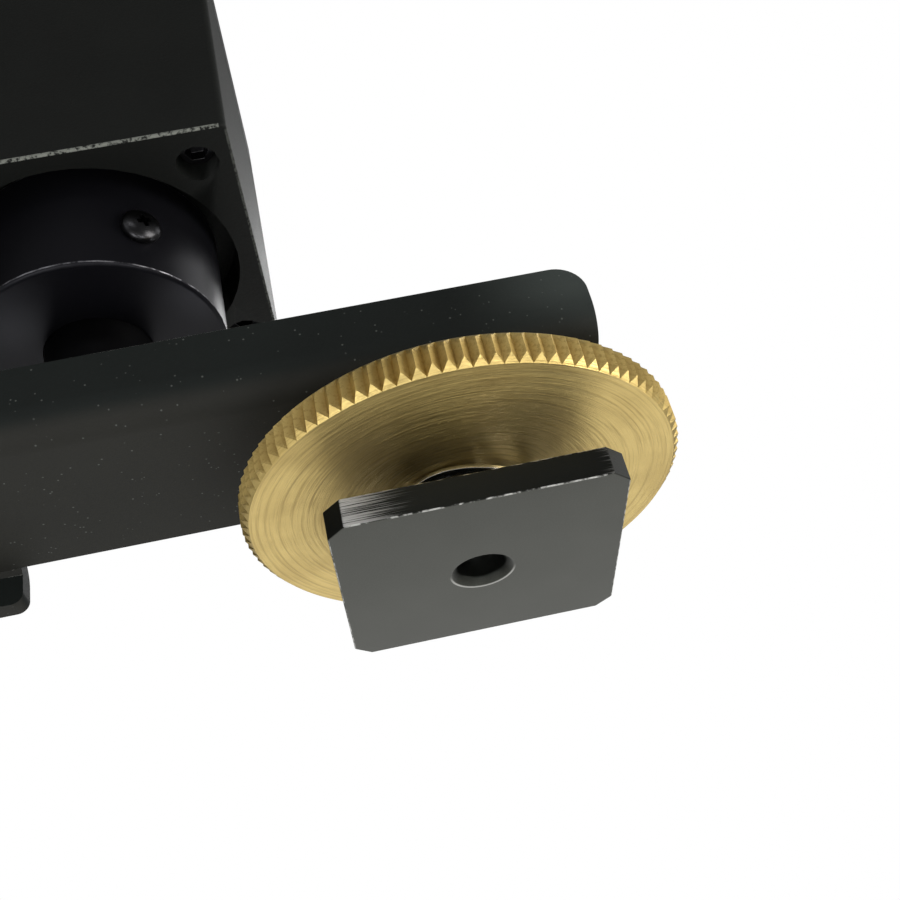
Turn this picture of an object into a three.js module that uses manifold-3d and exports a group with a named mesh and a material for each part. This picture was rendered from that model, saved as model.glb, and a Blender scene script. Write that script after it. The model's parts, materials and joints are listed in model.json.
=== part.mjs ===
// Star tracker mount: a small motor-driven head that turns about an upright spindle, carried on a
// bent sheet arm whose other end has an accessory-shoe foot with a knurled brass clamping wheel.
// Millimetres, +Z up. The origin is the centre of the foot's underside, and +X runs away from the
// head, along the arm. Each piece is one closed solid in its own mesh.

import * as THREE from 'three';
import { mergeVertices } from 'three/addons/utils/BufferGeometryUtils.js';
import Module from 'manifold-3d';

const wasm = await Module();
wasm.setup();

// ------------------------------------------------------------------ driving dimensions

// shoe foot
const FOOT_LENGTH = 18.6;
const FOOT_WIDTH = 17.8;
const FOOT_THICKNESS = 2.0;
const FOOT_CORNER = 1.1;
const NECK_RADIUS = 3.7;
const NECK_HEIGHT = 2.4;
const TAP_RADIUS = 1.62;
const TAP_MOUTH_RADIUS = 2.1;

// stud that joins the foot to the arm
const STUD_RADIUS = 3.0;
const STUD_SHOULDER_RADIUS = 5.0;
const STUD_SHOULDER_HEIGHT = 1.6;
const SPIGOT_RADIUS = 1.5;
const SPIGOT_LENGTH = 2.0;
const STUD_NUT_ACROSS = 10.0;
const STUD_NUT_HEIGHT = 2.5;
const STUD_WASHER_RADIUS = 5.6;
const STUD_WASHER_THICKNESS = 0.6;
const STUD_TIP = 0.2;
const STUD_EDGE = 0.3;

// knurled clamping wheel
const SHOE_GAP = 3.48;
const WHEEL_RADIUS = 15.06;
const WHEEL_THICKNESS = 2.35;
const WHEEL_CHAMFER = 0.5;
const KNURL_TEETH = 100;
const KNURL_DEPTH = 0.5;
const WHEEL_BOSS_RADIUS = 7.0;
const WHEEL_BOSS_HEIGHT = 1.4;
const WHEEL_RECESS_DEPTH = 1.4;
const WAVE_WIDTH = 0.75;
const WAVE_THICKNESS = 0.3;
const WAVE_HEIGHT = 0.2;
const WAVE_COUNT = 3;

// bent sheet arm
const ARM_OVER_WHEEL = 4.17;
const ARM_WIDTH = 15.8;
const ARM_FLANGE_HEIGHT = 5.5;
const ARM_SHEET = 1.6;
const ARM_BEND_RADIUS = 2.3;
const ARM_NOSE = 10.8;
const ARM_TAIL = 18.0;
const ARM_CORNER = 2.2;
const TAB_START = 8.6;
const TAB_DROP = 2.7;
const TAB_CORNER = 0.9;
const TAB_PROUD = 0.4;

// spindle, its base plate and the hub clamped on it
const SPINDLE_OFFSET = 23.9;
const SPINDLE_RADIUS = 4.0;
const SPINDLE_TIP_RADIUS = 2.5;
const BASE_LENGTH = 21.0;
const BASE_THICKNESS = 2.0;
const BASE_CORNER = 2.0;
const BASE_STUD_RADIUS = 1.25;
const BASE_STUD_SPACING_X = 15.2;
const BASE_STUD_SPACING_Y = 6.2;
const BASE_NUT_ACROSS = 4.6;
const BASE_NUT_HEIGHT = 1.7;
const BASE_STUD_TIP = 0.15;
const SPINDLE_EDGE = 0.25;
const HUB_PROUD = 7.75;
const HUB_EDGE = 0.3;
const HUB_END_GAP = 0.2;
const HUB_SCREW_RADIUS = 1.0;
const HUB_SCREW_HEAD_RADIUS = 1.45;
const HUB_SCREW_HEAD_HEIGHT = 0.95;
const HUB_SCREW_RECESS = 0.5;
const HUB_SCREW_DROP = 3.9;
const HUB_SCREW_ANGLE = -57.5;
const HUB_SCREW_COUNT = 3;

// square drive housing
const HEAD_RISE = 19.95;
const HOUSING_HALF = 12.75;
const HOUSING_HEADROOM = 2.85;
const HOUSING_WALL = 1.5;
const HOUSING_FLOOR = 2.2;
const HOUSING_CORNER = 0.5;
const BORE_WALL = 1.55;
const BORE_GAP = 1.65;
const BORE_DEPTH = 3.4;
const BOSS_WALL = 1.2;
const COVER_THICKNESS = 3.0;
const GASKET_THICKNESS = 0.4;
const GASKET_INSET = 0.3;
const GASKET_LAP = 0.2;
const CASE_SCREW_INSET_X = 2.65;
const CASE_SCREW_INSET_Y = 3.15;
const CASE_SCREW_RADIUS = 1.0;
const CASE_SCREW_HEAD_RADIUS = 1.42;
const CASE_SCREW_HEAD_HEIGHT = 1.6;
const CASE_SCREW_HOLE_RADIUS = 1.6;
const CASE_SCREW_HOLE_DEPTH = 3.0;
const CASE_SCREW_KEY = 1.5;
const CASE_SCREW_KEY_DEPTH = 0.8;
const CASE_COLUMN_RADIUS = 2.4;
const COVER_SKIN = 0.8;
const SCREW_TIP_ROOM = 0.4;
const POST_FOOT = 0.5;

// bushes
const LOWER_BUSH_WALL = 1.5;
const LOWER_BUSH_LENGTH = 5.0;
const UPPER_BUSH_WALL = 1.9;
const UPPER_BUSH_LENGTH = 3.8;
const BUSH_FLANGE = 1.0;
const BUSH_FLANGE_THICKNESS = 0.7;
const UPPER_SEAT_WALL = 2.0;
const UPPER_SEAT_SETBACK = 0.2;

// gear train
const GEAR_SIDE_ROOM = 0.825;
const OUTPUT_TEETH = 40;
const IDLER_PINION_TEETH = 12;
const IDLER_GEAR_TEETH = 30;
const MOTOR_PINION_TEETH = 12;
const GEAR_WIDTH = 3.0;
const IDLER_WIDTH = 2.2;
const GEAR_SPACER_LENGTH = 2.45;
const GEAR_STEP = 0.9;
const PINION_PROUD = 0.2;
const TOOTH_TIP = 0.85;
const TOOTH_ROOT = 1.2;
const BACKLASH = 0.16;
const IDLER_SHAFT_RADIUS = 1.0;
const IDLER_SHAFT_DEPTH = 4.0;
const IDLER_POST_HALF = 2.6;
const MOTOR_SHAFT_RADIUS = 0.9;
const MOTOR_SHAFT_DEPTH = 6.0;
const MOTOR_SHAFT_TIP = 0.3;
const MOTOR_PINION_ROOM = 0.475;
const MOTOR_EAR_END = 1.6;
const MOTOR_EAR_CORNER = 1.0;
const MOTOR_GEAR_ROOM = 0.4;
const MOTOR_FLANGE_THICKNESS = 0.8;
const MOTOR_EAR_WIDTH = 4.4;
const MOTOR_POST_WALL = 0.2;
const MOTOR_POST_ROOM = 0.55;
const BRIDGE_WIDTH = 5.0;
const BRIDGE_THICKNESS = 1.4;
const BRIDGE_CORNER = 1.0;
const PILLAR_WALL = 0.4;
const PILLAR_RADIUS = 1.35;
const SMALL_SCREW_RADIUS = 0.7;
const SMALL_SCREW_HEAD_RADIUS = 1.25;
const SMALL_SCREW_HEAD_HEIGHT = 0.7;
const SMALL_SCREW_LENGTH = 3.0;
const SMALL_SCREW_RECESS = 0.3;
const RETAINER_THICKNESS = 0.4;
const RETAINER_INSET = 0.3;
const RETAINER_HEAD_RADIUS = 1.6;
const RETAINER_HEAD_HEIGHT = 0.6;
const RECESS_SHARE = 0.55;
const DOMED_CROWN_SHARE = 0.62;
const FLAT_CROWN_SHARE = 0.9;
const HEAD_SIDE_SHARE = 0.55;
const SCREW_POINT_SHARE = 0.8;
const SCREW_POINT_RISE = 0.3;
const NUT_CHAMFER_OUT = 0.08;
const NUT_CHAMFER_IN = 0.06;

// controls on the end wall, and the tripod bush in the cover
const BOARD_THICKNESS = 1.2;
const BOARD_HEADROOM = 2.5;
const BOARD_LIFT = 0.6;
const BOARD_SETBACK = 2.6;
const BOARD_MOTOR_ROOM = 4.6;
const SWITCH_EDGE = 0.3;
const BUTTON_SWITCH_SIZE = 4.0;
const BUTTON_RADIUS = 2.2;
const BUTTON_PROUD = 0.8;
const BUTTON_TRAVEL = 0.5;
const CONTROL_LEVEL = 14.4;
const BUTTON_SHOULDER = 0.7;
const BUTTON_DOME = 0.4;
const BUTTON_BACK = 0.3;
const BUTTON_COLLAR = 0.45;
const LIGHT_RADIUS = 0.9;
const LIGHT_LEVEL = 18.6;
const SOCKET_WIDTH = 8.9;
const SOCKET_HEIGHT = 3.2;
const SOCKET_WALL = 0.35;
const SOCKET_FLAT = 0.05;
const SOCKET_LEVEL = 7.0;
const SOCKET_SETBACK = 0.1;
const SOCKET_BACK = 0.6;
const TONGUE_THICKNESS = 0.7;
const TONGUE_INSET = 1.2;
const LIGHT_PROUD = 0.2;
const SLIDER_BACK = 0.5;
const SLIDER_SIZE = 2.0;
const SLIDER_TRAVEL = 2.0;
const SLIDER_PROUD = 0.9;
const SLIDER_END_ROOM = 0.5;
const TRIPOD_BUSH_RADIUS = 4.6;
const TRIPOD_TAP_RADIUS = 2.65;
const TRIPOD_BUSH_LENGTH = 5.6;
const TRIPOD_SEAT_WALL = 1.5;
const TRIPOD_SEAT_FLOOR = 0.6;
const CAP_RADIUS = 6.6;
const CAP_THICKNESS = 0.7;

// fits
const RESTING_GAP = 0.05;
const PRESS_GAP = 0.05;
const RUNNING_GAP = 0.06;
const LOOSE_GAP = 0.15;

// ------------------------------------------------------------------ levels that follow

const FOOT_TOP = FOOT_THICKNESS;
const NECK_TOP = FOOT_TOP + NECK_HEIGHT;
const WHEEL_UNDERSIDE = FOOT_TOP + SHOE_GAP;
const WHEEL_TOP = WHEEL_UNDERSIDE + WHEEL_THICKNESS;
const ARM_UNDERSIDE = WHEEL_TOP + ARM_OVER_WHEEL;
const ARM_HALF = ARM_WIDTH / 2;
const WEB_TOP = ARM_UNDERSIDE + ARM_SHEET;
const ARM_LEFT = -(SPINDLE_OFFSET + ARM_TAIL);
const BASE_WIDTH = 2 * (ARM_HALF - ARM_BEND_RADIUS - LOOSE_GAP);
const BASE_TOP = WEB_TOP + RESTING_GAP + BASE_THICKNESS;

const HOUSING_UNDERSIDE = ARM_UNDERSIDE + HEAD_RISE;
const BORE_RADIUS = HOUSING_HALF - BORE_WALL;
const BORE_TOP = HOUSING_UNDERSIDE + BORE_DEPTH;
const HUB_RADIUS = BORE_RADIUS - BORE_GAP;
const HUB_UNDERSIDE = HOUSING_UNDERSIDE - HUB_PROUD;
const HUB_TOP = BORE_TOP - RESTING_GAP - BUSH_FLANGE_THICKNESS - HUB_END_GAP;
const FLOOR_TOP = HOUSING_UNDERSIDE + HOUSING_FLOOR;
const BOSS_TOP = BORE_TOP + LOWER_BUSH_LENGTH;
const BOSS_RADIUS = BORE_RADIUS + BOSS_WALL;
const INNER_HALF = HOUSING_HALF - HOUSING_WALL;
const LOWER_BUSH_BORE = SPINDLE_RADIUS + RUNNING_GAP;
const LOWER_BUSH_RADIUS = LOWER_BUSH_BORE + LOWER_BUSH_WALL;
const UPPER_BUSH_BORE = SPINDLE_TIP_RADIUS + RUNNING_GAP;
const UPPER_BUSH_RADIUS = UPPER_BUSH_BORE + UPPER_BUSH_WALL;

// The gears are as large as the housing's width allows.
const MODULE = (INNER_HALF - GEAR_SIDE_ROOM) / (OUTPUT_TEETH / 2 + TOOTH_TIP);
const SPACER_BOTTOM = BOSS_TOP + LOOSE_GAP;
const GEAR_LEVEL = SPACER_BOTTOM + GEAR_SPACER_LENGTH + RESTING_GAP;
const IDLER_LEVEL = GEAR_LEVEL + GEAR_WIDTH + GEAR_STEP;
const IDLER_X = -MODULE * (OUTPUT_TEETH + IDLER_PINION_TEETH) / 2;
const IDLER_SHAFT_BOTTOM = GEAR_LEVEL - IDLER_SHAFT_DEPTH;
const MOTOR_X = IDLER_X - MODULE * (IDLER_GEAR_TEETH + MOTOR_PINION_TEETH) / 2;
const IDLER_PINION_TIP = MODULE * (IDLER_PINION_TEETH / 2 + TOOTH_TIP);
const MOTOR_RADIUS = IDLER_X - MOTOR_X - IDLER_PINION_TIP - MOTOR_PINION_ROOM;
const MOTOR_POST_RADIUS = PILLAR_RADIUS + MOTOR_POST_WALL;
const MOTOR_EAR_Y = MOTOR_RADIUS + MOTOR_POST_ROOM + MOTOR_POST_RADIUS;
const MOTOR_TOP = IDLER_LEVEL - MOTOR_GEAR_ROOM;
const BRIDGE_UNDERSIDE = IDLER_LEVEL + IDLER_WIDTH + GEAR_STEP;
const BRIDGE_TOP = BRIDGE_UNDERSIDE + BRIDGE_THICKNESS;
const PILLAR_SIDE = INNER_HALF - PILLAR_RADIUS;

const HOUSING_TOP = BRIDGE_TOP + HOUSING_HEADROOM;
const HOUSING_LEFT = MOTOR_X - MOTOR_RADIUS - BOARD_MOTOR_ROOM
  - BOARD_THICKNESS - BOARD_SETBACK - HOUSING_WALL;
const END_WALL_FACE = HOUSING_LEFT + HOUSING_WALL;
const COVER_UNDERSIDE = HOUSING_TOP + GASKET_THICKNESS;
const COVER_TOP = COVER_UNDERSIDE + COVER_THICKNESS;
const UPPER_BUSH_TOP = COVER_UNDERSIDE + LOOSE_GAP;
const UPPER_BUSH_UNDERSIDE = UPPER_BUSH_TOP - UPPER_BUSH_LENGTH;
const SPINDLE_STEP = UPPER_BUSH_UNDERSIDE - LOOSE_GAP;
const SPINDLE_END = UPPER_BUSH_TOP + BUSH_FLANGE_THICKNESS + RESTING_GAP;

const BOARD_FACE = END_WALL_FACE + BOARD_SETBACK;
const BOARD_HALF = HOUSING_HALF - CASE_SCREW_INSET_Y - CASE_COLUMN_RADIUS - LOOSE_GAP;
const BOARD_BOTTOM = FLOOR_TOP + BOARD_LIFT;
const BOARD_TOP = HOUSING_TOP - BOARD_HEADROOM;
const CONTROL_HEIGHT = HOUSING_UNDERSIDE + CONTROL_LEVEL;
const LIGHT_HEIGHT = HOUSING_UNDERSIDE + LIGHT_LEVEL;
const SOCKET_CENTRE = HOUSING_UNDERSIDE + SOCKET_LEVEL;
const SLIDER_SWITCH_SIZE = SLIDER_SIZE + SLIDER_TRAVEL + 2 * SLIDER_END_ROOM;
const BUTTON_SIDE = -(BOARD_HALF - BUTTON_SWITCH_SIZE / 2 - SWITCH_EDGE);
const SLIDER_SIDE = BOARD_HALF - SLIDER_SWITCH_SIZE / 2 - SWITCH_EDGE;
const CASE_SCREWS = [-1, 1].flatMap((side) => [
  { x: HOUSING_HALF - CASE_SCREW_INSET_X, y: side * (HOUSING_HALF - CASE_SCREW_INSET_Y) },
  { x: HOUSING_LEFT + CASE_SCREW_INSET_X, y: side * (HOUSING_HALF - CASE_SCREW_INSET_Y) },
]);
const BASE_STUDS = [-1, 1].flatMap((sideX) => [-1, 1].map((sideY) => (
  { x: sideX * BASE_STUD_SPACING_X / 2, y: sideY * BASE_STUD_SPACING_Y / 2 })));

const WIDE_ROUND = 48;
const ROUND = 32;
const SMALL_ROUND = 12;
const OVERCUT = 1.0;

// ------------------------------------------------------------------ solids from geometry

// A closed geometry becomes a solid whose faces point out.
function solid(geometry) {
  const bare = geometry.clone();
  bare.deleteAttribute('normal');
  bare.deleteAttribute('uv');
  const merged = mergeVertices(bare, 1e-4);
  const points = new Float32Array(merged.attributes.position.array);
  const corners = Uint32Array.from(merged.index.array);
  const a = new THREE.Vector3();
  const b = new THREE.Vector3();
  const c = new THREE.Vector3();
  const kept = [];
  let volume = 0;
  for (let i = 0; i < corners.length; i += 3) {
    const [p, q, r] = [corners[i], corners[i + 1], corners[i + 2]];
    if (p === q || q === r || r === p) continue;
    a.fromArray(points, 3 * p);
    b.fromArray(points, 3 * q);
    c.fromArray(points, 3 * r);
    volume += a.dot(b.cross(c));
    kept.push(p, q, r);
  }
  if (volume < 0) kept.reverse();
  return new wasm.Manifold(new wasm.Mesh({
    numProp: 3, vertProperties: points, triVerts: Uint32Array.from(kept) }));
}

function box(x0, x1, y0, y1, z0, z1) {
  const geometry = new THREE.BoxGeometry(x1 - x0, y1 - y0, z1 - z0);
  return solid(geometry.translate((x0 + x1) / 2, (y0 + y1) / 2, (z0 + z1) / 2));
}

// A body turned about the Z axis, from a closed run of [radius, height] points.
function turned(profile, sides = ROUND) {
  const points = [...profile, profile[0]].map(([r, z]) => new THREE.Vector2(r, z));
  return solid(new THREE.LatheGeometry(points, sides).rotateX(Math.PI / 2));
}

function disc(radius, z0, z1, x = 0, y = 0, sides = SMALL_ROUND) {
  return turned([[0, z0], [radius, z0], [radius, z1], [0, z1]], sides).translate([x, y, 0]);
}

function lyingDisc(radius, x0, x1, y, z) {
  return disc(radius, x0, x1).rotate([0, 90, 0]).translate([0, y, z]);
}

function ring(inner, outer, z0, z1, sides = ROUND) {
  return turned([[inner, z0], [outer, z0], [outer, z1], [inner, z1]], sides);
}

// A flat outline made as thick as z0 to z1.
function plate(shape, z0, z1, curveSegments = 6) {
  const geometry = new THREE.ExtrudeGeometry(shape, { depth: z1 - z0, bevelEnabled: false, curveSegments });
  return solid(geometry.translate(0, 0, z0));
}

// The same, with the outline in X and Z and the thickness from y0 to y1.
function sidePlate(shape, y0, y1) {
  return plate(shape, -y1, -y0).rotate([90, 0, 0]);
}

// The same, with the outline in Y and Z and the length from x0 to x1.
function endPlate(shape, x0, x1) {
  return plate(shape, x0, x1).rotate([90, 0, 90]);
}

function polygon(points) {
  return new THREE.Shape(points.map(([x, y]) => new THREE.Vector2(x, y)));
}

// A rectangle with a radius at each corner: lower left, lower right, upper right, upper left.
function rounded(x0, x1, y0, y1, corners) {
  const [r0, r1, r2, r3] = corners;
  const quarter = Math.PI / 2;
  const shape = new THREE.Shape();
  shape.moveTo(x0 + r0, y0);
  shape.lineTo(x1 - r1, y0);
  if (r1) shape.absarc(x1 - r1, y0 + r1, r1, -quarter, 0);
  shape.lineTo(x1, y1 - r2);
  if (r2) shape.absarc(x1 - r2, y1 - r2, r2, 0, quarter);
  shape.lineTo(x0 + r3, y1);
  if (r3) shape.absarc(x0 + r3, y1 - r3, r3, quarter, 2 * quarter);
  shape.lineTo(x0, y0 + r0);
  if (r0) shape.absarc(x0 + r0, y0 + r0, r0, 2 * quarter, 3 * quarter);
  return shape;
}

function hexagon(across, turn = 0) {
  const reach = across / Math.sqrt(3);
  return polygon(Array.from({ length: 6 }, (_, k) => {
    const angle = turn + k * Math.PI / 3;
    return [reach * Math.cos(angle), reach * Math.sin(angle)];
  }));
}

function nut(across, bore, z0, z1, x = 0, y = 0, sides = SMALL_ROUND) {
  const body = plate(hexagon(across), z0, z1);
  const reach = across * (1 / 2 + NUT_CHAMFER_OUT);
  const rise = across * NUT_CHAMFER_IN;
  const chamfer = turned([[0, z0], [across / 2, z0], [reach, z0 + rise],
    [reach, z1 - rise], [across / 2, z1], [0, z1]], 2 * SMALL_ROUND);
  const hole = disc(bore, z0 - OVERCUT, z1 + OVERCUT, 0, 0, sides);
  return body.intersect(chamfer).subtract(hole).translate([x, y, 0]);
}

// A screw that stands on Z: the head's seat is at height 0, with the head above and the shank below.
function screw(radius, length, headRadius, headHeight, domed = true) {
  const crown = headRadius * (domed ? DOMED_CROWN_SHARE : FLAT_CROWN_SHARE);
  return turned([[0, -length], [radius * SCREW_POINT_SHARE, -length],
    [radius, -length + radius * SCREW_POINT_RISE], [radius, 0], [headRadius, 0],
    [headRadius, headHeight * HEAD_SIDE_SHARE], [crown, headHeight], [0, headHeight]], SMALL_ROUND);
}

function crossRecess(size, depth, top) {
  const arm = size / 4;
  const slot = box(-size, size, -arm, arm, top - depth, top + OVERCUT);
  return slot.add(slot.rotate([0, 0, 90]));
}

function hexRecess(across, depth, top) {
  return plate(hexagon(across), top - depth, top + OVERCUT);
}

// A spur gear with involute flanks. The first tooth is centred on the given angle.
function gear(teeth, z0, z1, firstTooth, bore) {
  const pressure = THREE.MathUtils.degToRad(20);
  const pitchRadius = MODULE * teeth / 2;
  const baseRadius = pitchRadius * Math.cos(pressure);
  const tipRadius = pitchRadius + MODULE * TOOTH_TIP;
  const rootRadius = pitchRadius - MODULE * TOOTH_ROOT;
  const involute = (radius) => {
    const angle = Math.acos(Math.min(1, baseRadius / radius));
    return Math.tan(angle) - angle;
  };
  const halfAtPitch = Math.PI / (2 * teeth) - BACKLASH / (2 * pitchRadius);
  const half = (radius) => halfAtPitch + involute(pitchRadius) - involute(Math.max(radius, baseRadius));
  const heights = [rootRadius, pitchRadius, tipRadius];
  const points = [];
  for (let tooth = 0; tooth < teeth; tooth += 1) {
    const middle = firstTooth + tooth * 2 * Math.PI / teeth;
    for (const radius of heights) {
      const angle = middle - half(radius);
      points.push([radius * Math.cos(angle), radius * Math.sin(angle)]);
    }
    for (const radius of [...heights].reverse()) {
      const angle = middle + half(radius);
      points.push([radius * Math.cos(angle), radius * Math.sin(angle)]);
    }
  }
  return plate(polygon(points), z0, z1).subtract(disc(bore, z0 - OVERCUT, z1 + OVERCUT, 0, 0, ROUND));
}

// ------------------------------------------------------------------ finishes

function finish(color, roughness, metalness) {
  return () => new THREE.MeshStandardMaterial({ color, roughness, metalness });
}

const blackAnodised = finish(0x1b1c1b, 0.45, 0.6);
const blackPaint = finish(0x1c2020, 0.75, 0.1);
const blackCast = finish(0x1d1e1b, 0.8, 0.2);
const brass = finish(0xc6a763, 0.35, 1.0);
const bronze = finish(0x8a6a3c, 0.5, 1.0);
const steel = finish(0x9a9c9e, 0.35, 1.0);
const darkNickel = finish(0x4a4b4e, 0.3, 1.0);
const moulding = finish(0x202224, 0.6, 0.0);
const boardGreen = finish(0x1d4a2c, 0.5, 0.0);
const rubber = finish(0x151515, 0.9, 0.0);
const lightLens = finish(0xc03020, 0.2, 0.0);

const model = new THREE.Group();
const head = new THREE.Group();
head.position.x = -SPINDLE_OFFSET;
model.add(head);

function addPiece(parent, name, shape, makeMaterial) {
  const mesh = shape.getMesh();
  const geometry = new THREE.BufferGeometry();
  geometry.setAttribute('position', new THREE.BufferAttribute(new Float32Array(mesh.vertProperties), 3));
  geometry.setIndex(new THREE.BufferAttribute(new Uint32Array(mesh.triVerts), 1));
  geometry.computeVertexNormals();
  const piece = new THREE.Mesh(geometry, makeMaterial());
  piece.name = name;
  parent.add(piece);
}

// ------------------------------------------------------------------ shoe foot, stud and wheel

// A square plate with clipped corners, and a short tapped neck on it.
function shoeFoot() {
  const [halfLength, halfWidth, clip] = [FOOT_LENGTH / 2, FOOT_WIDTH / 2, FOOT_CORNER];
  const outline = polygon([
    [-halfLength + clip, -halfWidth], [halfLength - clip, -halfWidth], [halfLength, -halfWidth + clip],
    [halfLength, halfWidth - clip], [halfLength - clip, halfWidth], [-halfLength + clip, halfWidth],
    [-halfLength, halfWidth - clip], [-halfLength, -halfWidth + clip]]);
  const mouth = TAP_MOUTH_RADIUS - TAP_RADIUS;
  const tap = turned([[0, -OVERCUT], [TAP_MOUTH_RADIUS + OVERCUT, -OVERCUT], [TAP_RADIUS, mouth],
    [TAP_RADIUS, NECK_TOP + OVERCUT], [0, NECK_TOP + OVERCUT]]);
  const neck = disc(NECK_RADIUS, FOOT_TOP / 2, NECK_TOP, 0, 0, ROUND);
  return plate(outline, 0, FOOT_TOP).add(neck).subtract(tap);
}

// Threaded stud: a spigot in the foot's neck, a shoulder under the arm, and an end for the nut.
function shoeStud() {
  const shoulderTop = ARM_UNDERSIDE - RESTING_GAP;
  const shoulderBottom = shoulderTop - STUD_SHOULDER_HEIGHT;
  const bottom = NECK_TOP + RESTING_GAP;
  const top = WEB_TOP + STUD_WASHER_THICKNESS + STUD_NUT_HEIGHT + 3 * RESTING_GAP + STUD_TIP;
  const edge = STUD_EDGE;
  return turned([[0, NECK_TOP - SPIGOT_LENGTH], [SPIGOT_RADIUS, NECK_TOP - SPIGOT_LENGTH],
    [SPIGOT_RADIUS, bottom], [STUD_RADIUS - edge, bottom], [STUD_RADIUS, bottom + edge],
    [STUD_RADIUS, shoulderBottom], [STUD_SHOULDER_RADIUS, shoulderBottom],
    [STUD_SHOULDER_RADIUS, shoulderTop], [STUD_RADIUS, shoulderTop],
    [STUD_RADIUS, top - edge], [STUD_RADIUS - edge, top], [0, top]]);
}

// Brass wheel with a fine vee knurl, chamfered rims, a boss above and a recess for the neck below.
function clampWheel() {
  const points = Array.from({ length: 2 * KNURL_TEETH }, (_, k) => {
    const angle = k * Math.PI / KNURL_TEETH;
    const radius = k % 2 ? WHEEL_RADIUS - KNURL_DEPTH : WHEEL_RADIUS;
    return [radius * Math.cos(angle), radius * Math.sin(angle)];
  });
  const [low, high, cut] = [WHEEL_UNDERSIDE, WHEEL_TOP, WHEEL_CHAMFER];
  const blank = turned([[0, low], [WHEEL_RADIUS - cut, low], [WHEEL_RADIUS, low + cut],
    [WHEEL_RADIUS, high - cut], [WHEEL_RADIUS - cut, high], [0, high]], KNURL_TEETH);
  const boss = disc(WHEEL_BOSS_RADIUS, high - cut, high + WHEEL_BOSS_HEIGHT, 0, 0, ROUND);
  const recess = disc(NECK_RADIUS + 2 * LOOSE_GAP, low - OVERCUT, low + WHEEL_RECESS_DEPTH, 0, 0, ROUND);
  const bore = disc(STUD_RADIUS + RUNNING_GAP, low, high + WHEEL_BOSS_HEIGHT + OVERCUT, 0, 0, ROUND);
  return plate(polygon(points), low, high).intersect(blank).add(boss).subtract(recess).subtract(bore);
}

// A thin spring washer that waves up and down round its ring.
function waveWasher() {
  const inner = NECK_RADIUS + 3 * LOOSE_GAP;
  const top = WHEEL_UNDERSIDE - RESTING_GAP - WAVE_HEIGHT;
  const profile = [[inner, top - WAVE_THICKNESS], [inner + WAVE_WIDTH, top - WAVE_THICKNESS],
    [inner + WAVE_WIDTH, top], [inner, top], [inner, top - WAVE_THICKNESS]];
  const points = profile.map(([r, z]) => new THREE.Vector2(r, z));
  const geometry = new THREE.LatheGeometry(points, ROUND).rotateX(Math.PI / 2);
  const position = geometry.attributes.position;
  for (let i = 0; i < position.count; i += 1) {
    const angle = Math.atan2(position.getY(i), position.getX(i));
    position.setZ(i, position.getZ(i) + WAVE_HEIGHT * Math.cos(WAVE_COUNT * angle));
  }
  return solid(geometry);
}

addPiece(model, 'shoe_foot', shoeFoot(), blackAnodised);
addPiece(model, 'shoe_stud', shoeStud(), steel);
addPiece(model, 'clamp_wheel', clampWheel(), brass);
addPiece(model, 'wave_washer', waveWasher(), steel);
const studWasherBottom = WEB_TOP + RESTING_GAP;
const studWasherTop = studWasherBottom + STUD_WASHER_THICKNESS;
const studNutBottom = studWasherTop + RESTING_GAP;
addPiece(model, 'stud_washer',
  ring(STUD_RADIUS + LOOSE_GAP, STUD_WASHER_RADIUS, studWasherBottom, studWasherTop), steel);
addPiece(model, 'stud_nut',
  nut(STUD_NUT_ACROSS, STUD_RADIUS + PRESS_GAP, studNutBottom, studNutBottom + STUD_NUT_HEIGHT, 0, 0, ROUND),
  steel);

// ------------------------------------------------------------------ arm

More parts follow.
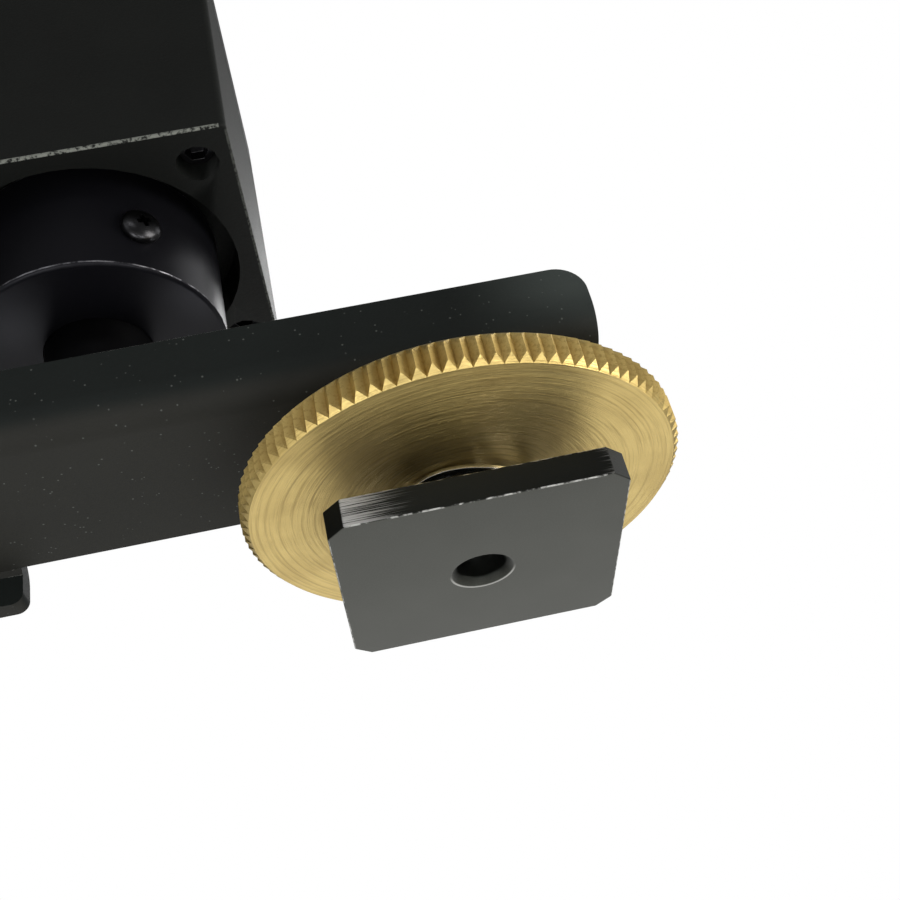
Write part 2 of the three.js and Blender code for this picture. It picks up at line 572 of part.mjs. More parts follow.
// Sheet bent up along the near side, with a tab bent down at the far corner of the tail.
function armBracket() {
  const bend = ARM_BEND_RADIUS;
  const inside = bend - ARM_SHEET;
  const flangeTop = ARM_UNDERSIDE + ARM_FLANGE_HEIGHT;
  const section = new THREE.Shape();
  section.moveTo(ARM_HALF, ARM_UNDERSIDE);
  section.lineTo(ARM_HALF, WEB_TOP);
  section.lineTo(-ARM_HALF + bend, WEB_TOP);
  section.absarc(-ARM_HALF + bend, WEB_TOP + inside, inside, -Math.PI / 2, -Math.PI, true);
  section.lineTo(-ARM_HALF + ARM_SHEET, flangeTop);
  section.lineTo(-ARM_HALF, flangeTop);
  section.lineTo(-ARM_HALF, ARM_UNDERSIDE + bend);
  section.absarc(-ARM_HALF + bend, ARM_UNDERSIDE + bend, bend, Math.PI, 1.5 * Math.PI);
  const side = rounded(ARM_LEFT, ARM_NOSE, ARM_UNDERSIDE - OVERCUT, flangeTop,
    [0, 0, ARM_CORNER, ARM_CORNER]);
  const plan = rounded(ARM_LEFT, ARM_NOSE, -ARM_WIDTH, ARM_HALF, [0, 0, ARM_CORNER, 0]);
  const channel = endPlate(section, ARM_LEFT - OVERCUT, ARM_NOSE + OVERCUT)
    .intersect(sidePlate(side, -ARM_WIDTH, ARM_WIDTH))
    .intersect(plate(plan, ARM_UNDERSIDE - OVERCUT, flangeTop + OVERCUT));
  const tabNear = ARM_HALF + TAB_PROUD;
  const tabFar = tabNear + ARM_SHEET;
  const tabRight = -(SPINDLE_OFFSET + TAB_START);
  const elbow = new THREE.Shape();
  elbow.moveTo(ARM_HALF - OVERCUT, ARM_UNDERSIDE);
  elbow.lineTo(tabNear - inside / 2, ARM_UNDERSIDE);
  elbow.lineTo(tabNear, ARM_UNDERSIDE - inside / 2);
  elbow.lineTo(tabNear, ARM_UNDERSIDE - TAB_DROP);
  elbow.lineTo(tabFar, ARM_UNDERSIDE - TAB_DROP);
  elbow.lineTo(tabFar, WEB_TOP - bend);
  elbow.absarc(tabFar - bend, WEB_TOP - bend, bend, 0, Math.PI / 2);
  elbow.lineTo(ARM_HALF - OVERCUT, WEB_TOP);
  const tabSide = rounded(ARM_LEFT, tabRight, ARM_UNDERSIDE - TAB_DROP, WEB_TOP + OVERCUT,
    [TAB_CORNER, TAB_CORNER, 0, 0]);
  const tab = endPlate(elbow, ARM_LEFT, tabRight).intersect(sidePlate(tabSide, 0, tabFar + OVERCUT));
  return channel.add(tab)
    .subtract(disc(STUD_RADIUS + LOOSE_GAP, ARM_UNDERSIDE - OVERCUT, WEB_TOP + OVERCUT, 0, 0, ROUND));
}

addPiece(model, 'arm_bracket', armBracket(), blackPaint);

// ------------------------------------------------------------------ spindle side, fixed to the arm

function spindleBase() {
  const corner = BASE_CORNER;
  const [halfLength, halfWidth] = [BASE_LENGTH / 2, BASE_WIDTH / 2];
  const outline = rounded(-halfLength, halfLength, -halfWidth, halfWidth, [corner, corner, corner, corner]);
  let base = plate(outline, WEB_TOP + RESTING_GAP, BASE_TOP);
  base = base.subtract(disc(SPINDLE_RADIUS + PRESS_GAP, WEB_TOP - OVERCUT, BASE_TOP + OVERCUT, 0, 0, ROUND));
  for (const { x, y } of BASE_STUDS) {
    base = base.subtract(disc(BASE_STUD_RADIUS + LOOSE_GAP, WEB_TOP - OVERCUT, BASE_TOP + OVERCUT, x, y));
  }
  return base;
}

// Stepped spindle with a tapped end for the retaining screw.
function spindle() {
  const tap = SMALL_SCREW_RADIUS + PRESS_GAP;
  const edge = SPINDLE_EDGE;
  return turned([[0, WEB_TOP + 2 * RESTING_GAP], [SPINDLE_RADIUS, WEB_TOP + 2 * RESTING_GAP],
    [SPINDLE_RADIUS, SPINDLE_STEP - edge], [SPINDLE_RADIUS - edge, SPINDLE_STEP],
    [SPINDLE_TIP_RADIUS, SPINDLE_STEP], [SPINDLE_TIP_RADIUS, SPINDLE_END], [tap, SPINDLE_END],
    [tap, SPINDLE_END - SMALL_SCREW_LENGTH - LOOSE_GAP], [0, SPINDLE_END - SMALL_SCREW_LENGTH - LOOSE_GAP]]);
}

// Turned hub that turns in the housing's bore, with a chamfered lower rim and tapped radial holes.
function outputHub() {
  const bore = SPINDLE_RADIUS + PRESS_GAP;
  const screwHole = disc(HUB_SCREW_RADIUS + PRESS_GAP, 0, HUB_RADIUS + OVERCUT).rotate([0, 90, 0]);
  let hub = turned([[bore, HUB_UNDERSIDE], [HUB_RADIUS - HUB_EDGE, HUB_UNDERSIDE],
    [HUB_RADIUS, HUB_UNDERSIDE + HUB_EDGE], [HUB_RADIUS, HUB_TOP - HUB_EDGE],
    [HUB_RADIUS - HUB_EDGE, HUB_TOP], [bore, HUB_TOP]], WIDE_ROUND);
  for (let k = 0; k < HUB_SCREW_COUNT; k += 1) {
    const turn = HUB_SCREW_ANGLE + k * 360 / HUB_SCREW_COUNT;
    hub = hub.subtract(screwHole.rotate([0, 0, turn]).translate([0, 0, HUB_UNDERSIDE + HUB_SCREW_DROP]));
  }
  return hub;
}

// Pan-head screw with a cross recess, laid on its side and pointing at the spindle.
function hubScrew(index) {
  const length = HUB_RADIUS - SPINDLE_RADIUS - 2 * LOOSE_GAP;
  const seat = HUB_RADIUS + RESTING_GAP;
  return screw(HUB_SCREW_RADIUS, length, HUB_SCREW_HEAD_RADIUS, HUB_SCREW_HEAD_HEIGHT)
    .subtract(crossRecess(HUB_SCREW_HEAD_RADIUS * RECESS_SHARE, HUB_SCREW_RECESS, HUB_SCREW_HEAD_HEIGHT))
    .translate([0, 0, seat])
    .rotate([0, 90, 0])
    .rotate([0, 0, HUB_SCREW_ANGLE + index * 360 / HUB_SCREW_COUNT])
    .translate([0, 0, HUB_UNDERSIDE + HUB_SCREW_DROP]);
}

addPiece(head, 'spindle_base', spindleBase(), blackAnodised);
addPiece(head, 'spindle', spindle(), steel);
BASE_STUDS.forEach(({ x, y }, index) => {
  const nutBottom = BASE_TOP + RESTING_GAP;
  const nutTop = nutBottom + BASE_NUT_HEIGHT;
  addPiece(head, `base_stud_${index + 1}`,
    disc(BASE_STUD_RADIUS, WEB_TOP + RESTING_GAP, nutTop, x, y), steel);
  addPiece(head, `base_nut_${index + 1}`,
    nut(BASE_NUT_ACROSS, BASE_STUD_RADIUS + PRESS_GAP, nutBottom, nutTop - BASE_STUD_TIP, x, y), steel);
});
addPiece(head, 'output_hub', outputHub(), blackAnodised);
for (let k = 0; k < HUB_SCREW_COUNT; k += 1) addPiece(head, `hub_screw_${k + 1}`, hubScrew(k), darkNickel);
addPiece(head, 'gear_spacer', ring(SPINDLE_RADIUS + PRESS_GAP, LOWER_BUSH_RADIUS,
  SPACER_BOTTOM, GEAR_LEVEL - RESTING_GAP), steel);
addPiece(head, 'output_gear', gear(OUTPUT_TEETH, GEAR_LEVEL, GEAR_LEVEL + GEAR_WIDTH, Math.PI,
  SPINDLE_RADIUS + PRESS_GAP), brass);
const retainerBottom = SPINDLE_END + RESTING_GAP;
const retainerTop = retainerBottom + RETAINER_THICKNESS;
addPiece(head, 'spindle_washer', ring(SMALL_SCREW_RADIUS + PRESS_GAP, UPPER_BUSH_RADIUS - RETAINER_INSET,
  retainerBottom, retainerTop, SMALL_ROUND), steel);
addPiece(head, 'spindle_screw',
  screw(SMALL_SCREW_RADIUS, SMALL_SCREW_LENGTH, RETAINER_HEAD_RADIUS, RETAINER_HEAD_HEIGHT)
    .subtract(crossRecess(RETAINER_HEAD_RADIUS * RECESS_SHARE,
      RETAINER_HEAD_HEIGHT / 2, RETAINER_HEAD_HEIGHT))
    .translate([0, 0, retainerTop + RESTING_GAP]), steel);

// ------------------------------------------------------------------ housing and its cover

function caseOutline(inset, corner) {
  const half = HOUSING_HALF - inset;
  return rounded(HOUSING_LEFT + inset, half, -half, half, [corner, corner, corner, corner]);
}

function flangedBush(bore, radius, z0, z1, flangeAtTop) {
  const flange = radius + BUSH_FLANGE;
  if (flangeAtTop) {
    return turned([[bore, z0], [radius, z0], [radius, z1], [flange, z1], [flange, z1 + BUSH_FLANGE_THICKNESS],
      [bore, z1 + BUSH_FLANGE_THICKNESS]]);
  }
  return turned([[bore, z0 - BUSH_FLANGE_THICKNESS], [flange, z0 - BUSH_FLANGE_THICKNESS], [flange, z0],
    [radius, z0], [radius, z1], [bore, z1]]);
}

// Openings in the end wall for the button, the light, the socket and the slider.
function controlHoles() {
  const [x0, x1] = [HOUSING_LEFT - OVERCUT, END_WALL_FACE + OVERCUT];
  const slotHalf = (SLIDER_SIZE + SLIDER_TRAVEL) / 2 + LOOSE_GAP;
  const socketHalf = SOCKET_WIDTH / 2 + LOOSE_GAP;
  const socketRise = SOCKET_HEIGHT / 2 + LOOSE_GAP;
  const slotRise = SLIDER_SIZE / 2 + LOOSE_GAP;
  return lyingDisc(BUTTON_RADIUS + LOOSE_GAP, x0, x1, BUTTON_SIDE, CONTROL_HEIGHT)
    .add(lyingDisc(LIGHT_RADIUS + LOOSE_GAP, x0, x1, 0, LIGHT_HEIGHT))
    .add(box(x0, x1, -socketHalf, socketHalf, SOCKET_CENTRE - socketRise, SOCKET_CENTRE + socketRise))
    .add(box(x0, x1, SLIDER_SIDE - slotHalf, SLIDER_SIDE + slotHalf,
      CONTROL_HEIGHT - slotRise, CONTROL_HEIGHT + slotRise));
}

function driveHousing() {
  const outside = plate(caseOutline(0, HOUSING_CORNER), HOUSING_UNDERSIDE, HOUSING_TOP);
  const pocket = plate(caseOutline(HOUSING_WALL, HOUSING_CORNER), FLOOR_TOP, HOUSING_TOP + OVERCUT);
  const inside = plate(caseOutline(HOUSING_WALL / 2, HOUSING_CORNER), HOUSING_UNDERSIDE, HOUSING_TOP);
  const boss = disc(BOSS_RADIUS, HOUSING_UNDERSIDE + POST_FOOT, BOSS_TOP, 0, 0, ROUND);
  const motorPost = MOTOR_TOP - MOTOR_FLANGE_THICKNESS - RESTING_GAP;
  let posts = boss
    .add(box(IDLER_X - IDLER_POST_HALF, 0, -IDLER_POST_HALF, IDLER_POST_HALF,
      HOUSING_UNDERSIDE + POST_FOOT, GEAR_LEVEL - GEAR_STEP));
  for (const side of [-1, 1]) {
    posts = posts
      .add(disc(PILLAR_RADIUS + PILLAR_WALL, FLOOR_TOP - POST_FOOT, BRIDGE_UNDERSIDE - RESTING_GAP, IDLER_X,
        side * (PILLAR_SIDE + PILLAR_WALL)))
      .add(disc(MOTOR_POST_RADIUS, FLOOR_TOP - POST_FOOT, motorPost, MOTOR_X, side * MOTOR_EAR_Y));
  }
  for (const { x, y } of CASE_SCREWS) {
    posts = posts.add(disc(CASE_COLUMN_RADIUS, HOUSING_UNDERSIDE + POST_FOOT, HOUSING_TOP, x, y));
  }
  let housing = outside.subtract(pocket).add(posts.intersect(inside));
  const bush = LOWER_BUSH_RADIUS + PRESS_GAP;
  housing = housing
    .subtract(disc(BORE_RADIUS, HOUSING_UNDERSIDE - OVERCUT, BORE_TOP, 0, 0, WIDE_ROUND))
    .subtract(disc(bush, BORE_TOP - OVERCUT, HOUSING_TOP + OVERCUT, 0, 0, ROUND))
    .subtract(disc(IDLER_SHAFT_RADIUS + RUNNING_GAP, IDLER_SHAFT_BOTTOM, GEAR_LEVEL + OVERCUT, IDLER_X, 0))
    .subtract(controlHoles());
  for (const side of [-1, 1]) {
    housing = housing
      .subtract(disc(SMALL_SCREW_RADIUS + PRESS_GAP, BRIDGE_UNDERSIDE - SMALL_SCREW_LENGTH,
        BRIDGE_UNDERSIDE + OVERCUT, IDLER_X, side * PILLAR_SIDE))
      .subtract(disc(SMALL_SCREW_RADIUS + PRESS_GAP, motorPost - SMALL_SCREW_LENGTH, motorPost + OVERCUT,
        MOTOR_X, side * MOTOR_EAR_Y));
  }
  for (const { x, y } of CASE_SCREWS) {
    housing = housing
      .subtract(disc(CASE_SCREW_HOLE_RADIUS, HOUSING_UNDERSIDE - OVERCUT,
        HOUSING_UNDERSIDE + CASE_SCREW_HOLE_DEPTH, x, y))
      .subtract(disc(CASE_SCREW_RADIUS + LOOSE_GAP, HOUSING_UNDERSIDE, HOUSING_TOP + OVERCUT, x, y));
  }
  return housing;
}

// Cover with a seat for the upper bush, a pocket for the cap, and the tripod bush's hole.
function topCover() {
  const bush = UPPER_BUSH_RADIUS + PRESS_GAP;
  let cover = plate(caseOutline(0, HOUSING_CORNER), COVER_UNDERSIDE, COVER_TOP)
    .add(disc(bush + UPPER_SEAT_WALL, UPPER_BUSH_UNDERSIDE + UPPER_SEAT_SETBACK, COVER_UNDERSIDE + OVERCUT,
      0, 0, ROUND))
    .add(disc(TRIPOD_BUSH_RADIUS + TRIPOD_SEAT_WALL, COVER_TOP - TRIPOD_BUSH_LENGTH - TRIPOD_SEAT_FLOOR,
      COVER_UNDERSIDE + OVERCUT, MOTOR_X, 0, ROUND))
    .subtract(disc(bush, UPPER_BUSH_UNDERSIDE - OVERCUT, COVER_TOP, 0, 0, ROUND))
    .subtract(disc(CAP_RADIUS + LOOSE_GAP, UPPER_BUSH_TOP, COVER_TOP + OVERCUT, 0, 0, ROUND))
    .subtract(disc(TRIPOD_BUSH_RADIUS + PRESS_GAP, COVER_TOP - TRIPOD_BUSH_LENGTH, COVER_TOP + OVERCUT,
      MOTOR_X, 0, ROUND));
  for (const { x, y } of CASE_SCREWS) {
    cover = cover.subtract(disc(CASE_SCREW_RADIUS + PRESS_GAP,
      COVER_UNDERSIDE - OVERCUT, COVER_TOP - COVER_SKIN, x, y));
  }
  return cover;
}

// A thin gasket that follows the housing's rim.
function coverGasket() {
  const rim = plate(caseOutline(GASKET_INSET, HOUSING_CORNER),
    HOUSING_TOP + RESTING_GAP, COVER_UNDERSIDE - RESTING_GAP);
  const hole = plate(caseOutline(HOUSING_WALL + GASKET_LAP, HOUSING_CORNER),
    HOUSING_TOP - OVERCUT, COVER_TOP);
  let gasket = rim.subtract(hole);
  for (const { x, y } of CASE_SCREWS) {
    gasket = gasket.subtract(disc(CASE_SCREW_RADIUS + LOOSE_GAP, HOUSING_TOP - OVERCUT, COVER_TOP, x, y));
  }
  return gasket;
}

function caseScrew({ x, y }) {
  const seat = HOUSING_UNDERSIDE + CASE_SCREW_HOLE_DEPTH - RESTING_GAP;
  const length = COVER_TOP - COVER_SKIN - SCREW_TIP_ROOM - seat;
  return screw(CASE_SCREW_RADIUS, length, CASE_SCREW_HEAD_RADIUS, CASE_SCREW_HEAD_HEIGHT, false)
    .subtract(hexRecess(CASE_SCREW_KEY, CASE_SCREW_KEY_DEPTH, CASE_SCREW_HEAD_HEIGHT))
    .rotate([180, 0, 0])
    .translate([x, y, seat]);
}

addPiece(head, 'drive_housing', driveHousing(), blackCast);
addPiece(head, 'top_cover', topCover(), blackAnodised);
addPiece(head, 'cover_gasket', coverGasket(), rubber);
CASE_SCREWS.forEach((place, index) => addPiece(head, `case_screw_${index + 1}`, caseScrew(place), steel));
addPiece(head, 'lower_bush',
  flangedBush(LOWER_BUSH_BORE, LOWER_BUSH_RADIUS, BORE_TOP - RESTING_GAP, BOSS_TOP, false), bronze);
addPiece(head, 'upper_bush',
  flangedBush(UPPER_BUSH_BORE, UPPER_BUSH_RADIUS,
    UPPER_BUSH_UNDERSIDE, UPPER_BUSH_TOP + RESTING_GAP / 2, true), bronze);
addPiece(head, 'axis_cap',
  disc(CAP_RADIUS, COVER_TOP - CAP_THICKNESS, COVER_TOP, 0, 0, ROUND), blackAnodised);
addPiece(head, 'tripod_bush', ring(TRIPOD_TAP_RADIUS, TRIPOD_BUSH_RADIUS,
  COVER_TOP - TRIPOD_BUSH_LENGTH + RESTING_GAP, COVER_TOP).translate([MOTOR_X, 0, 0]), brass);

// ------------------------------------------------------------------ motor and gear train

// Motor can with two ears, open where its shaft comes out.
function motorCan() {
  const bottom = FLOOR_TOP + RESTING_GAP;
  const flangeBottom = MOTOR_TOP - MOTOR_FLANGE_THICKNESS;
  const [halfSpan, halfWidth] = [MOTOR_EAR_Y + MOTOR_EAR_END, MOTOR_EAR_WIDTH / 2];
  const ears = rounded(-halfWidth, halfWidth, -halfSpan, halfSpan, Array(4).fill(MOTOR_EAR_CORNER));
  let can = disc(MOTOR_RADIUS, bottom, MOTOR_TOP, 0, 0, ROUND).add(plate(ears, flangeBottom, MOTOR_TOP));
  can = can.subtract(disc(MOTOR_SHAFT_RADIUS + RUNNING_GAP,
    MOTOR_TOP - MOTOR_SHAFT_DEPTH, MOTOR_TOP + OVERCUT));
  for (const side of [-1, 1]) {
    can = can.subtract(disc(SMALL_SCREW_RADIUS + LOOSE_GAP, flangeBottom - OVERCUT, MOTOR_TOP + OVERCUT,
      0, side * MOTOR_EAR_Y));
  }
  return can.translate([MOTOR_X, 0, 0]);
}

function gearBridge() {
  const [half, reach] = [BRIDGE_WIDTH / 2, INNER_HALF - LOOSE_GAP];
  const outline = rounded(IDLER_X - half, IDLER_X + half, -reach, reach, Array(4).fill(BRIDGE_CORNER));
  let bridge = plate(outline, BRIDGE_UNDERSIDE, BRIDGE_TOP)
    .subtract(disc(IDLER_SHAFT_RADIUS + RUNNING_GAP,
      BRIDGE_UNDERSIDE - OVERCUT, BRIDGE_TOP + OVERCUT, IDLER_X, 0));
  for (const side of [-1, 1]) {
    bridge = bridge.subtract(disc(SMALL_SCREW_RADIUS + LOOSE_GAP, BRIDGE_UNDERSIDE - OVERCUT,
      BRIDGE_TOP + OVERCUT, IDLER_X, side * PILLAR_SIDE));
  }
  return bridge;
}

function smallScrew(x, y, seat, length) {
  return screw(SMALL_SCREW_RADIUS, length, SMALL_SCREW_HEAD_RADIUS, SMALL_SCREW_HEAD_HEIGHT)
    .subtract(crossRecess(SMALL_SCREW_HEAD_RADIUS * RECESS_SHARE,
      SMALL_SCREW_RECESS, SMALL_SCREW_HEAD_HEIGHT))
    .translate([x, y, seat + RESTING_GAP]);
}

const motorShaftTop = IDLER_LEVEL + IDLER_WIDTH + MOTOR_SHAFT_TIP;
addPiece(head, 'motor_can', motorCan(), steel);
addPiece(head, 'gear_bridge', gearBridge(), steel);
[-1, 1].forEach((side, index) => {
  addPiece(head, `bridge_screw_${index + 1}`,
    smallScrew(IDLER_X, side * PILLAR_SIDE, BRIDGE_TOP, SMALL_SCREW_LENGTH), steel);
  addPiece(head, `motor_screw_${index + 1}`,
    smallScrew(MOTOR_X, side * MOTOR_EAR_Y, MOTOR_TOP, SMALL_SCREW_LENGTH), steel);
});
addPiece(head, 'idler_shaft',
  disc(IDLER_SHAFT_RADIUS, IDLER_SHAFT_BOTTOM + RESTING_GAP, BRIDGE_TOP, IDLER_X, 0), steel);
addPiece(head, 'idler_pinion', gear(IDLER_PINION_TEETH,
  GEAR_LEVEL - PINION_PROUD, GEAR_LEVEL + GEAR_WIDTH + PINION_PROUD,
  Math.PI / IDLER_PINION_TEETH, IDLER_SHAFT_RADIUS + PRESS_GAP).translate([IDLER_X, 0, 0]), steel);
addPiece(head, 'idler_gear', gear(IDLER_GEAR_TEETH, IDLER_LEVEL, IDLER_LEVEL + IDLER_WIDTH, Math.PI,
  IDLER_SHAFT_RADIUS + PRESS_GAP).translate([IDLER_X, 0, 0]), brass);
addPiece(head, 'motor_shaft',
  disc(MOTOR_SHAFT_RADIUS, MOTOR_TOP - MOTOR_SHAFT_DEPTH + RESTING_GAP, motorShaftTop, MOTOR_X, 0), steel);
addPiece(head, 'motor_pinion', gear(MOTOR_PINION_TEETH,
  IDLER_LEVEL - PINION_PROUD / 2, IDLER_LEVEL + IDLER_WIDTH + PINION_PROUD / 2,
  Math.PI / MOTOR_PINION_TEETH, MOTOR_SHAFT_RADIUS + PRESS_GAP).translate([MOTOR_X, 0, 0]), steel);

// ------------------------------------------------------------------ board and controls

// A flattened metal tube with a tongue joined to its back wall.
function powerSocket() {
  const [x0, x1] = [HOUSING_LEFT + SOCKET_SETBACK, BOARD_FACE - RESTING_GAP];
  const [halfWidth, halfHeight] = [SOCKET_WIDTH / 2, SOCKET_HEIGHT / 2];
  const corner = halfHeight - SOCKET_FLAT;
  const outline = (inset) => {
    const [y, z, r] = [halfWidth - inset, halfHeight - inset, corner - inset];
    return rounded(-y, y, -z, z, [r, r, r, r]);
  };
  const shell = endPlate(outline(0), x0, x1)
    .subtract(endPlate(outline(SOCKET_WALL), x0 - OVERCUT, x1 - SOCKET_BACK));
  const tongue = box(x0 + SOCKET_BACK, x1, -halfWidth + TONGUE_INSET, halfWidth - TONGUE_INSET,
    -TONGUE_THICKNESS / 2, TONGUE_THICKNESS / 2);
  return shell.add(tongue).translate([0, 0, SOCKET_CENTRE]);
}

// Button cap with a domed face, and a stem that meets the switch behind it.
function powerButton() {
  const face = BUTTON_PROUD + HOUSING_WALL;
  const stem = BUTTON_RADIUS - BUTTON_SHOULDER;
  return turned([[0, 0], [stem, 0], [stem, BUTTON_COLLAR], [BUTTON_RADIUS, BUTTON_COLLAR],
    [BUTTON_RADIUS, face - BUTTON_DOME], [BUTTON_RADIUS - BUTTON_DOME, face - BUTTON_DOME / 4],
    [0, face]], SMALL_ROUND)
    .rotate([0, -90, 0])
    .translate([END_WALL_FACE + BUTTON_BACK, BUTTON_SIDE, CONTROL_HEIGHT]);
}

const switchFront = END_WALL_FACE + BUTTON_BACK + BUTTON_TRAVEL + LOOSE_GAP;
const sliderBack = END_WALL_FACE + SLIDER_BACK;
const switchBody = (front, side, level, size) => box(front, BOARD_FACE - RESTING_GAP,
  side - size / 2, side + size / 2, level - size / 2, level + size / 2);
addPiece(head, 'circuit_board', box(BOARD_FACE, BOARD_FACE + BOARD_THICKNESS, -BOARD_HALF, BOARD_HALF,
  BOARD_BOTTOM, BOARD_TOP), boardGreen);
addPiece(head, 'power_socket', powerSocket(), steel);
addPiece(head, 'button_switch',
  switchBody(switchFront, BUTTON_SIDE, CONTROL_HEIGHT, BUTTON_SWITCH_SIZE), moulding);
addPiece(head, 'power_button', powerButton(), moulding);
addPiece(head, 'status_light',
  lyingDisc(LIGHT_RADIUS, HOUSING_LEFT - LIGHT_PROUD, BOARD_FACE - RESTING_GAP, 0, LIGHT_HEIGHT), lightLens);
addPiece(head, 'direction_switch',
  switchBody(sliderBack + LOOSE_GAP, SLIDER_SIDE, CONTROL_HEIGHT, SLIDER_SWITCH_SIZE), moulding);
const sliderRest = SLIDER_SIDE - SLIDER_TRAVEL / 2;
addPiece(head, 'direction_slider', box(HOUSING_LEFT - SLIDER_PROUD, sliderBack,
  sliderRest - SLIDER_SIZE / 2, sliderRest + SLIDER_SIZE / 2,
  CONTROL_HEIGHT - SLIDER_SIZE / 2, CONTROL_HEIGHT + SLIDER_SIZE / 2), moulding);

export default model;
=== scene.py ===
# %% [markdown]
# # A star tracker mount
# This lesson dresses a small motor-driven tracker head in its real finishes. The head turns on a
# spindle over a bent sheet arm, and the arm's other end has an accessory-shoe foot with a knurled
# brass clamping wheel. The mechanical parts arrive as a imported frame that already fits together, so
# everything here is built around it, in metres, and nothing of it is moved.

import json
import math

import bmesh
import bpy
from mathutils import Matrix, Vector


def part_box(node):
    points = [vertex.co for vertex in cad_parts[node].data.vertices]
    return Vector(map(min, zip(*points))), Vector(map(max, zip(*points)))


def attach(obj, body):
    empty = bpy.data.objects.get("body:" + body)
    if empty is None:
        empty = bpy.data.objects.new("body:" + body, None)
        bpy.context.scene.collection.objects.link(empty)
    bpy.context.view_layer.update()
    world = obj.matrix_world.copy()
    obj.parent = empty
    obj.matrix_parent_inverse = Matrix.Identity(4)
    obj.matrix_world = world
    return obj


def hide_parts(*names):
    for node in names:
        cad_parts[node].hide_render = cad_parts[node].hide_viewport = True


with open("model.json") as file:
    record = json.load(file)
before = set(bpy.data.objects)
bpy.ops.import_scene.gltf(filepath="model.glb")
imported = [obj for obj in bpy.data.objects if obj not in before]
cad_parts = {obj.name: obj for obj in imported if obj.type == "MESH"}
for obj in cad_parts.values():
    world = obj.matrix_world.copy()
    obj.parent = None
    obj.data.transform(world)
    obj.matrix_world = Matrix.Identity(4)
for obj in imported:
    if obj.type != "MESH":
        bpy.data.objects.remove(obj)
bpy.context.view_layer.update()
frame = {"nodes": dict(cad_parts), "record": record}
body_of = {node: body for body, nodes in frame["record"]["behaviour"]["bodies"].items() for node in nodes}
slot_of = {part["node"]: part["material_slot"] for part in frame["record"]["subparts"]}

# %% [markdown]
# ## Camera
# A close-up of a small object is taken from a few centimetres away, so the perspective is strong and
# the camera's place matters more than its lens. It could be aimed with a constraint, but three plain
# angles say the same: a heading round the upright, a rise above the horizon, and a roll of the camera
# in the hand. This one sits below the object and looks up at the foot.

# %% Camera
MM = 0.001
CAMERA_PLACE = Vector((-6.91, -68.73, -35.52)) * MM
CAMERA_HEADING = math.radians(-5.61)
CAMERA_RISE = math.radians(33.25)
CAMERA_ROLL = math.radians(-14.15)
LENS = 47.36


def add_camera():
    camera = bpy.data.objects.new("camera", bpy.data.cameras.new("camera"))
    bpy.context.scene.collection.objects.link(camera)
    aim = Matrix.Rotation(CAMERA_HEADING, 4, "Z") @ Matrix.Rotation(math.pi / 2 + CAMERA_RISE, 4, "X")
    roll = Matrix.Rotation(CAMERA_ROLL, 4, "Z")
    camera.matrix_world = Matrix.Translation(CAMERA_PLACE) @ aim @ roll
    camera.data.lens = LENS
    camera.data.sensor_width = 36.0
    camera.data.clip_start = MM
    bpy.context.scene.camera = camera
    return camera


camera = add_camera()
print("camera", [round(value / MM, 1) for value in camera.location], "mm")

# %% [markdown]
# ## Light
# Small black metal parts show their shape through what they reflect, so the lights are large and soft.
# The undersides mirror whatever stands low and far behind the object, so the brightest sheet is there,
# and it leaves the upright faces dark. A sheet at the right gives the brass and the hub their sheen,
# and two narrow strips on the near side pick out milled faces, the washer's edge and the rim's chamfer.
# The world's brightness for the lens and for the object are set apart, or black would wash out to grey.

# %% Light
SURROUND_WHITE = 1.0
SURROUND_LIGHT = 0.20


def add_world():
    world = bpy.data.worlds.new("studio")
    bpy.context.scene.world = world
    world.use_nodes = True
    nodes, links = world.node_tree.nodes, world.node_tree.links
    nodes.clear()
    path = nodes.new("ShaderNodeLightPath")
    mix = nodes.new("ShaderNodeMixShader")
    shades = []
    for strength in (SURROUND_LIGHT, SURROUND_WHITE):
        shade = nodes.new("ShaderNodeBackground")
        shade.inputs["Color"].default_value = (1.0, 1.0, 1.0, 1.0)
        shade.inputs["Strength"].default_value = strength
        shades.append(shade)
    output = nodes.new("ShaderNodeOutputWorld")
    links.new(path.outputs["Is Camera Ray"], mix.inputs["Fac"])
    links.new(shades[0].outputs[0], mix.inputs[1])
    links.new(shades[1].outputs[0], mix.inputs[2])
    links.new(mix.outputs[0], output.inputs["Surface"])


def add_light(name, place, target, width, height, power, colour=(1.0, 1.0, 1.0)):
    light = bpy.data.objects.new(name, bpy.data.lights.new(name, "AREA"))
    bpy.context.scene.collection.objects.link(light)
    light.data.shape = "RECTANGLE"
    light.data.size = width * MM
    light.data.size_y = height * MM
    light.data.energy = power
    light.data.color = colour
    light.location = Vector(place) * MM
    aim = (Vector(target) - Vector(place)).normalized()
    light.rotation_euler = aim.to_track_quat("-Z", "Y").to_euler()
    return light


add_world()
add_light("far_low_sheet", (5, 120, -44), (0, 0, 6), 240, 80, 0.053)
add_light("near_sheet", (-160, -190, 60), (-10, 0, 10), 180, 150, 0.05)
add_light("near_strip", (-12, -150, 78), (-2, -9, 3), 80, 22, 0.020)
add_light("below_strip", (14, -46, -50), (5, -14, 4), 44, 14, 0.016)
add_light("right_sheet", (190, -70, -15), (0, 0, 8), 120, 130, 0.40, (1.0, 0.97, 0.92))
add_light("low_sheet", (-60, -40, -60), (-5, 0, 5), 70, 50, 0.04)
add_light("right_top_sheet", (150, 45, 140), (-15, 0, 25), 110, 100, 0.06)
add_light("back_strip", (-10, 160, 150), (-20, 0, 30), 220, 60, 0.3)
bpy.context.scene.view_settings.view_transform = "Standard"

# %% [markdown]
# ## Finishes as arithmetic
# Every finish below is a small sum: a grain plus a scratch, times a mask for worn edges. Node trees
# make such sums hard to read, so one class wraps a node's output and lets Python's own signs add the
# Math nodes. A second class holds one material and adds any other node through a single method.

